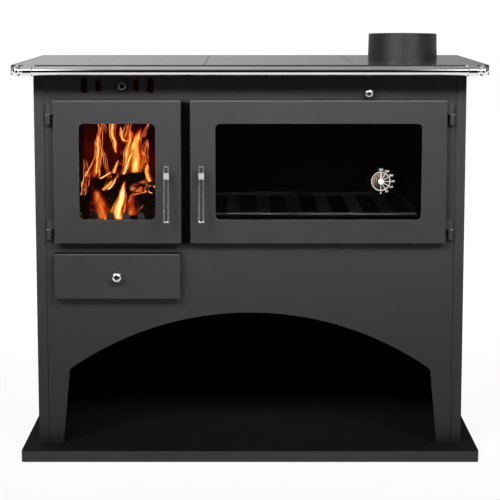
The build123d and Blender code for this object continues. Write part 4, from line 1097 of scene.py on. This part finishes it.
# %% [markdown]
# ## The flames
# A flame in a still picture is a thin curved sheet of gas, bright along its outline and in a few
# threads that run up it, and nearly clear between them. A volume would look softer, but most
# other programs can't load one, so each flame is a sheet. Its own map, u across and v upwards,
# carries the pattern, so the threads and the outline follow its shape.

# %% Wind the threads of a flame
CURL_SCALE, CURL_STRETCH, CURL_PUSH = 42.0, (1, 1, 0.45), 0.9
STREAMS_ACROSS, STREAMS_UP, STREAMS_ALONG_X = 1.5, 1.4, 14.0


def wind_streams(nodes, links, chart):
    """How far the gas is pushed aside, and a pattern of streams that run up the sheet."""
    curls = add_group(nodes, grain_group, Scale=CURL_SCALE, Stretch=CURL_STRETCH, Detail=3.0)
    aside = calculate(nodes, links, "SUBTRACT", curls.outputs["Value"], 0.5)
    across = calculate(nodes, links, "ADD", chart["X"],
                       calculate(nodes, links, "MULTIPLY", aside, CURL_PUSH))
    place = split(nodes, links, place_on_piece(nodes))
    flow = nodes.new("ShaderNodeCombineXYZ")
    for axis, value, factor in (("X", across, STREAMS_ACROSS), ("Y", chart["Y"], STREAMS_UP),
                                ("Z", place["X"], STREAMS_ALONG_X)):
        links.new(calculate(nodes, links, "MULTIPLY", value, factor), flow.inputs[axis])
    streams = nodes.new("ShaderNodeTexNoise")
    streams.inputs["Scale"].default_value = 1.0
    streams.inputs["Detail"].default_value = 1.0
    links.new(flow.outputs[0], streams.inputs["Vector"])
    return aside, streams.outputs["Fac"]


print("streams ready")

# %% [markdown]
# ### Heat over the sheet
# Heat is one number from nought to one. The outline, the threads and the gas between them each
# add to it, and it fades towards the sheet's borders, its tip and its root, so that no straight
# edge of the sheet shows.

# %% Heat of a flame
THREAD_HALF = 0.05
OUTLINE_FROM, OUTLINE_FULL, OUTLINE_WAVER = 0.34, 0.44, 0.35
UNEVEN_LOW, UNEVEN_HIGH, UNEVEN_LEAST = 0.36, 0.64, 0.62
BILLOW_OUT, BILLOW_IN, BILLOW_LEAST = 0.46, 0.04, 0.25
BORDER_FADE, TIP_FADE, ROOT_FADE = (0.5, 0.45), (1.0, 0.66), (0.0, 0.08)


def off_centre(nodes, links, value):
    """How far a value is from a half, on either side."""
    gap = calculate(nodes, links, "SUBTRACT", value, 0.5)
    return calculate(nodes, links, "ABSOLUTE", gap, 0)


def heat_sheet(nodes, links, body, threads, outline):
    """The heat of a sheet, from the heat of its body, of the threads in it and of its outline."""
    chart = split(nodes, links, nodes.new("ShaderNodeUVMap").outputs[0])
    aside, streams = wind_streams(nodes, links, chart)
    thread = ramp_between(nodes, links, off_centre(nodes, links, streams), THREAD_HALF, 0.0,
                          0.0, threads)
    from_middle = off_centre(nodes, links, chart["X"])
    wavering = calculate(nodes, links, "ADD", from_middle,
                         calculate(nodes, links, "MULTIPLY", aside, OUTLINE_WAVER))
    uneven = ramp_between(nodes, links, streams, UNEVEN_LOW, UNEVEN_HIGH, UNEVEN_LEAST, 1.0)
    rim = calculate(nodes, links, "MULTIPLY", uneven, ramp_between(
        nodes, links, wavering, OUTLINE_FROM, OUTLINE_FULL, 0.0, outline))
    billow = ramp_between(nodes, links, wavering, BILLOW_OUT, BILLOW_IN, BILLOW_LEAST, 1.0)
    inside = calculate(nodes, links, "MULTIPLY", uneven,
                       calculate(nodes, links, "MULTIPLY", billow, body))
    heat = calculate(nodes, links, "ADD", calculate(nodes, links, "MAXIMUM", thread, rim), inside)
    for value, limits in ((from_middle, BORDER_FADE), (chart["Y"], TIP_FADE),
                          (chart["Y"], ROOT_FADE)):
        heat = calculate(nodes, links, "MULTIPLY", heat, ramp_between(nodes, links, value, *limits))
    return heat


print("heat ready")

# %% [markdown]
# ### From heat to colour
# The cooler the gas, the redder and clearer it is: a colour ramp runs from deep red over orange to
# pale yellow, and the alpha rises with the heat. Four mixes are made: a bright core, the body of
# a flame, a thin veil, and a dim haze behind them.

# %% Flame colours
FLAME_GLOW = [
    # heat, colour
    (0.00, (0.035, 0.0005, 0.0)),
    (0.22, (0.16, 0.004, 0.0005)),
    (0.42, (0.42, 0.048, 0.007)),
    (0.60, (0.78, 0.23, 0.030)),
    (0.78, (1.0, 0.53, 0.100)),
    (1.00, (1.0, 0.82, 0.34)),
]
FLAME_STRENGTH = 1.9
CLEAR_BELOW, DENSE_ABOVE, MOST_DENSE = 0.04, 0.55, 0.97


def new_flame(name, body, threads, outline):
    """Burning gas: the heat of a sheet made a colour and a density."""
    material, nodes, links, shader = new_material(name)
    shader.inputs["Base Color"].default_value = (0, 0, 0, 1)
    shader.inputs["Roughness"].default_value = 1
    shader.inputs["Specular IOR Level"].default_value = 0
    shader.inputs["Emission Strength"].default_value = FLAME_STRENGTH
    heat = heat_sheet(nodes, links, body, threads, outline)
    glow = nodes.new("ShaderNodeValToRGB")
    stops = glow.color_ramp.elements
    for number, (level, colour) in enumerate(FLAME_GLOW):
        stop = stops[number] if number < 2 else stops.new(level)
        stop.position = level
        stop.color = (*colour, 1)
    links.new(heat, glow.inputs["Fac"])
    links.new(glow.outputs["Color"], shader.inputs["Emission Color"])
    links.new(ramp_between(nodes, links, heat, CLEAR_BELOW, DENSE_ABOVE, 0.0, MOST_DENSE),
              shader.inputs["Alpha"])
    return material


flame_core = new_flame("flame_core", 1.05, 0.10, 0.34)
flame_body = new_flame("flame_body", 0.72, 0.18, 0.60)
flame_veil = new_flame("flame_veil", 0.34, 0.26, 0.84)
flame_haze = new_flame("flame_haze", 0.54, 0.08, 0.06)
print("flames:", flame_core.name, flame_body.name, flame_veil.name, flame_haze.name)

# %% [markdown]
# ### One sheet of flame
# A sheet starts as a coarse grid. Its rows are set one by one to a place and a width, as if a
# ribbon were laid along the flame. Rows that are done stand a metre behind the others meanwhile,
# so that the next selection doesn't find them. Subdivision rounds the ribbon, and a cloud texture
# curls it.

# %% Model a sheet of flame
SHEET_COLUMNS, SHEET_LEVELS, ROW_REACH = 4, 2, 0.01
CURL_X, CURL_Y, CURL_SIZE = 0.012, 0.026, 0.022
MM = 1000
curl = bpy.data.textures.new("curl", "CLOUDS")
curl.cloud_type = "COLOR"
curl.noise_scale = CURL_SIZE


def model_flame(depth, material, *rows):
    """A sheet at a depth whose rows have a middle x, a height z and a width, in millimetres."""
    deselect()
    bpy.ops.mesh.primitive_grid_add(x_subdivisions=SHEET_COLUMNS, y_subdivisions=len(rows) - 1,
                                    size=1, rotation=(pi / 2, 0, 0))
    sheet = settle(bpy.context.object, "flame")
    sheet.data.materials.append(material)
    bpy.ops.object.mode_set(mode="EDIT")
    for number, (x, z, width) in enumerate(rows):
        level = number / (len(rows) - 1) - 0.5
        select_where(sheet, "VERT", lambda spot: (abs(spot.co.z - level) < ROW_REACH
                                                  and abs(spot.co.y) < ROW_REACH))
        bpy.ops.transform.resize(value=(width / MM, 1, 1), center_override=(0, 0, level))
        bpy.ops.transform.translate(value=(x / MM, 1 + depth / MM, z / MM - level))
    bpy.ops.object.mode_set(mode="OBJECT")
    sheet.data.transform(Matrix.Translation((0, -1, 0)))
    smooth = sheet.modifiers.new("smooth", "SUBSURF")
    smooth.levels = smooth.render_levels = SHEET_LEVELS
    bpy.ops.object.modifier_apply(modifier=smooth.name)
    displace(sheet, "waves_X", curl, CURL_X, direction="X")
    displace(sheet, "waves_Y", curl, CURL_Y, direction="Y")
    return sheet


print("flame helper ready")

# %% [markdown]
# ### One fire, flame by flame
# A tall sheet stands on the left, a bright core burns right of the middle with small licks round
# it, thin wisps cross above, and low flames come up between the logs in front. The sheets stand
# at several depths, so the fire keeps its body when the stove is seen from the side.

# %% Set the flames among the logs
flames = [
    model_flame(-30, flame_veil, (-357, 578, 40), (-350, 606, 27), (-340, 634, 18), (-339, 656, 19),
                (-338, 676, 15), (-333, 690, 9), (-335, 704, 12), (-337, 722, 14), (-338, 740, 6)),
    model_flame(-34, flame_body, (-345, 590, 10), (-343, 618, 12), (-340, 642, 14),
                (-341, 664, 12), (-339, 684, 8), (-336, 700, 3)),
    model_flame(-22, flame_veil, (-316, 580, 12), (-321, 603, 12), (-325, 628, 9), (-332, 652, 6),
                (-336, 668, 2)),
    model_flame(-26, flame_veil, (-322, 684, 4), (-325, 702, 9), (-331, 722, 9), (-334, 738, 3)),
    model_flame(-10, flame_body, (-300, 636, 5), (-306, 662, 11), (-311, 688, 14), (-307, 708, 17),
                (-304, 728, 12), (-302, 742, 4)),
    model_flame(-38, flame_core, (-256, 594, 26), (-256, 612, 34), (-255, 632, 35), (-256, 650, 34),
                (-256, 664, 28), (-252, 680, 20), (-246, 696, 12), (-239, 714, 4)),
    model_flame(-34, flame_body, (-282, 606, 8), (-277, 632, 14), (-271, 656, 18), (-266, 676, 14),
                (-268, 694, 9), (-272, 712, 3)),
    model_flame(-28, flame_body, (-236, 616, 12), (-233, 636, 14), (-236, 654, 15), (-233, 670, 10),
                (-229, 684, 3)),
    model_flame(-15, flame_haze, (-258, 590, 40), (-260, 620, 36), (-258, 648, 34), (-256, 672, 28),
                (-250, 694, 16), (-244, 716, 6)),
    model_flame(-42, flame_body, (-244, 604, 12), (-240, 624, 15), (-238, 644, 12), (-243, 662, 5)),
    model_flame(-46, flame_core, (-226, 578, 20), (-231, 596, 18), (-231, 612, 10), (-228, 634, 2)),
    model_flame(-52, flame_core, (-284, 595, 7), (-277, 610, 12), (-269, 628, 12), (-263, 646, 9),
                (-258, 662, 4)),
    model_flame(-50, flame_core, (-336, 587, 8), (-325, 593, 9), (-314, 599, 8), (-305, 607, 3)),
    model_flame(-48, flame_body, (-304, 598, 11), (-300, 612, 9), (-295, 624, 5), (-292, 636, 2)),
    model_flame(-12, flame_haze, (-288, 584, 30), (-282, 604, 26), (-276, 626, 24), (-270, 648, 16),
                (-264, 666, 6)),
    model_flame(-8, flame_body, (-292, 704, 3), (-290, 688, 7), (-287, 674, 10), (-277, 664, 10),
                (-268, 674, 10), (-263, 688, 7), (-259, 704, 2)),
    model_flame(0, flame_veil, (-278, 660, 18), (-278, 680, 26), (-276, 696, 18), (-266, 712, 8),
                (-262, 724, 3)),
    model_flame(-30, flame_body, (-238, 676, 10), (-236, 694, 9), (-229, 708, 5), (-225, 720, 2)),
    model_flame(-70, flame_body, (-330, 562, 14), (-318, 572, 13), (-306, 582, 9), (-300, 592, 3)),
    model_flame(-74, flame_core, (-316, 566, 12), (-306, 574, 9), (-298, 586, 5), (-292, 604, 2)),
    model_flame(-78, flame_veil, (-372, 552, 12), (-367, 564, 12), (-369, 578, 8), (-372, 592, 2)),
    model_flame(-20, flame_veil, (-372, 560, 20), (-366, 590, 16), (-370, 620, 8), (-374, 640, 2)),
    model_flame(-120, flame_core, (-288, 502, 28), (-291, 520, 34), (-285, 542, 28),
                (-278, 564, 15), (-275, 584, 8), (-277, 602, 2)),
    model_flame(-112, flame_haze, (-258, 510, 40), (-264, 528, 34), (-260, 546, 26),
                (-257, 562, 12), (-254, 576, 3)),
    model_flame(-122, flame_haze, (-316, 498, 16), (-320, 514, 20), (-325, 530, 18),
                (-330, 546, 14), (-334, 562, 4)),
    model_flame(-116, flame_haze, (-322, 502, 46), (-326, 524, 46), (-330, 546, 40),
                (-336, 566, 24), (-342, 582, 8)),
    model_flame(-118, flame_veil, (-256, 516, 8), (-247, 524, 7), (-238, 532, 6), (-231, 544, 2)),
    model_flame(-60, flame_body, (-244, 556, 30), (-246, 568, 26), (-240, 580, 14), (-236, 590, 3)),
    model_flame(-96, flame_core, (-262, 556, 16), (-246, 560, 9), (-232, 562, 8), (-224, 570, 3)),
]
fire_flames = join(flames, "fire_flames")
bpy.ops.object.shade_smooth()
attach(fire_flames, "root")
print("flames:", len(flames), "faces:", len(fire_flames.data.polygons))

# %% [markdown]
# ## The thermometer's scale
# The oven thermometer sits on the outside of the glass. White spokes stand on the right half of
# its ring, one for every fifty degrees, with plain numbers outside the ring. Print could be an
# image, but thin solid bars stay sharp at any size.

# %% Print the scale
coil_low, coil_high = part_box("thermometer_coil")
ring_radius = (coil_high.x - coil_low.x) / 2
SPOKE_INNER, SPOKE_WIDTH, SPOKE_DEPTH, SPOKE_EDGE = 0.0065, 0.0011, 0.00025, 0.0001
scale_white = new_finish("scale_white", (0.88, 0.86, 0.84), (0.95, 0.93, 0.91), (0.4, 0.5))
DEGREE_STEP, TURN_START, TURN_STEP, MARKS = 50, -90, 30, 7
degrees = [(mark * DEGREE_STEP, TURN_START + mark * TURN_STEP) for mark in range(MARKS)]
spokes = []
for _, turn in degrees:
    deselect()
    bpy.ops.mesh.primitive_cube_add(size=1)
    spoke = bpy.context.object
    spoke.scale = (ring_radius - SPOKE_INNER, SPOKE_DEPTH, SPOKE_WIDTH)
    middle = (ring_radius + SPOKE_INNER) / 2
    spoke.rotation_euler = (0, -radians(turn), 0)
    spoke.location = (dial_x + middle * cos(radians(turn)), coil_low.y - SPOKE_DEPTH / 2,
                      dial_z + middle * sin(radians(turn)))
    settle(spoke, "spoke")
    soften = spoke.modifiers.new("soften", "BEVEL")
    soften.width = SPOKE_EDGE
    bpy.ops.object.modifier_apply(modifier=soften.name)
    spokes.append(spoke)
dial_spokes = join(spokes, "dial_spokes")
dial_spokes.data.materials.append(scale_white)
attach(dial_spokes, "oven_door")
print("spokes:", len(spokes))

# %% [markdown]
# ### The numbers
# The numbers are text in Blender's own font. A text has no mesh in which its place could be
# settled, so each is made a mesh before it is moved.

# %% Print the numbers
NUMBER_SIZE, NUMBER_DEPTH, NUMBER_RADIUS = 0.0062, 0.00015, 0.0248
numbers = []
for number, turn in degrees:
    deselect()
    bpy.ops.object.text_add(rotation=(pi / 2, 0, 0))
    text = bpy.context.object
    text.data.body = str(number)
    text.data.size = NUMBER_SIZE
    text.data.align_x = "CENTER"
    text.data.align_y = "CENTER"
    text.data.extrude = NUMBER_DEPTH
    bpy.ops.object.convert(target="MESH")
    text = bpy.context.object
    text.location = (dial_x + NUMBER_RADIUS * cos(radians(turn)), coil_high.y - NUMBER_DEPTH,
                     dial_z + NUMBER_RADIUS * sin(radians(turn)))
    numbers.append(settle(text, "number"))
dial_numbers = join(numbers, "dial_numbers")
dial_numbers.data.materials.clear()
dial_numbers.data.materials.append(scale_white)
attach(dial_numbers, "oven_door")
print("numbers:", [number for number, _ in degrees])
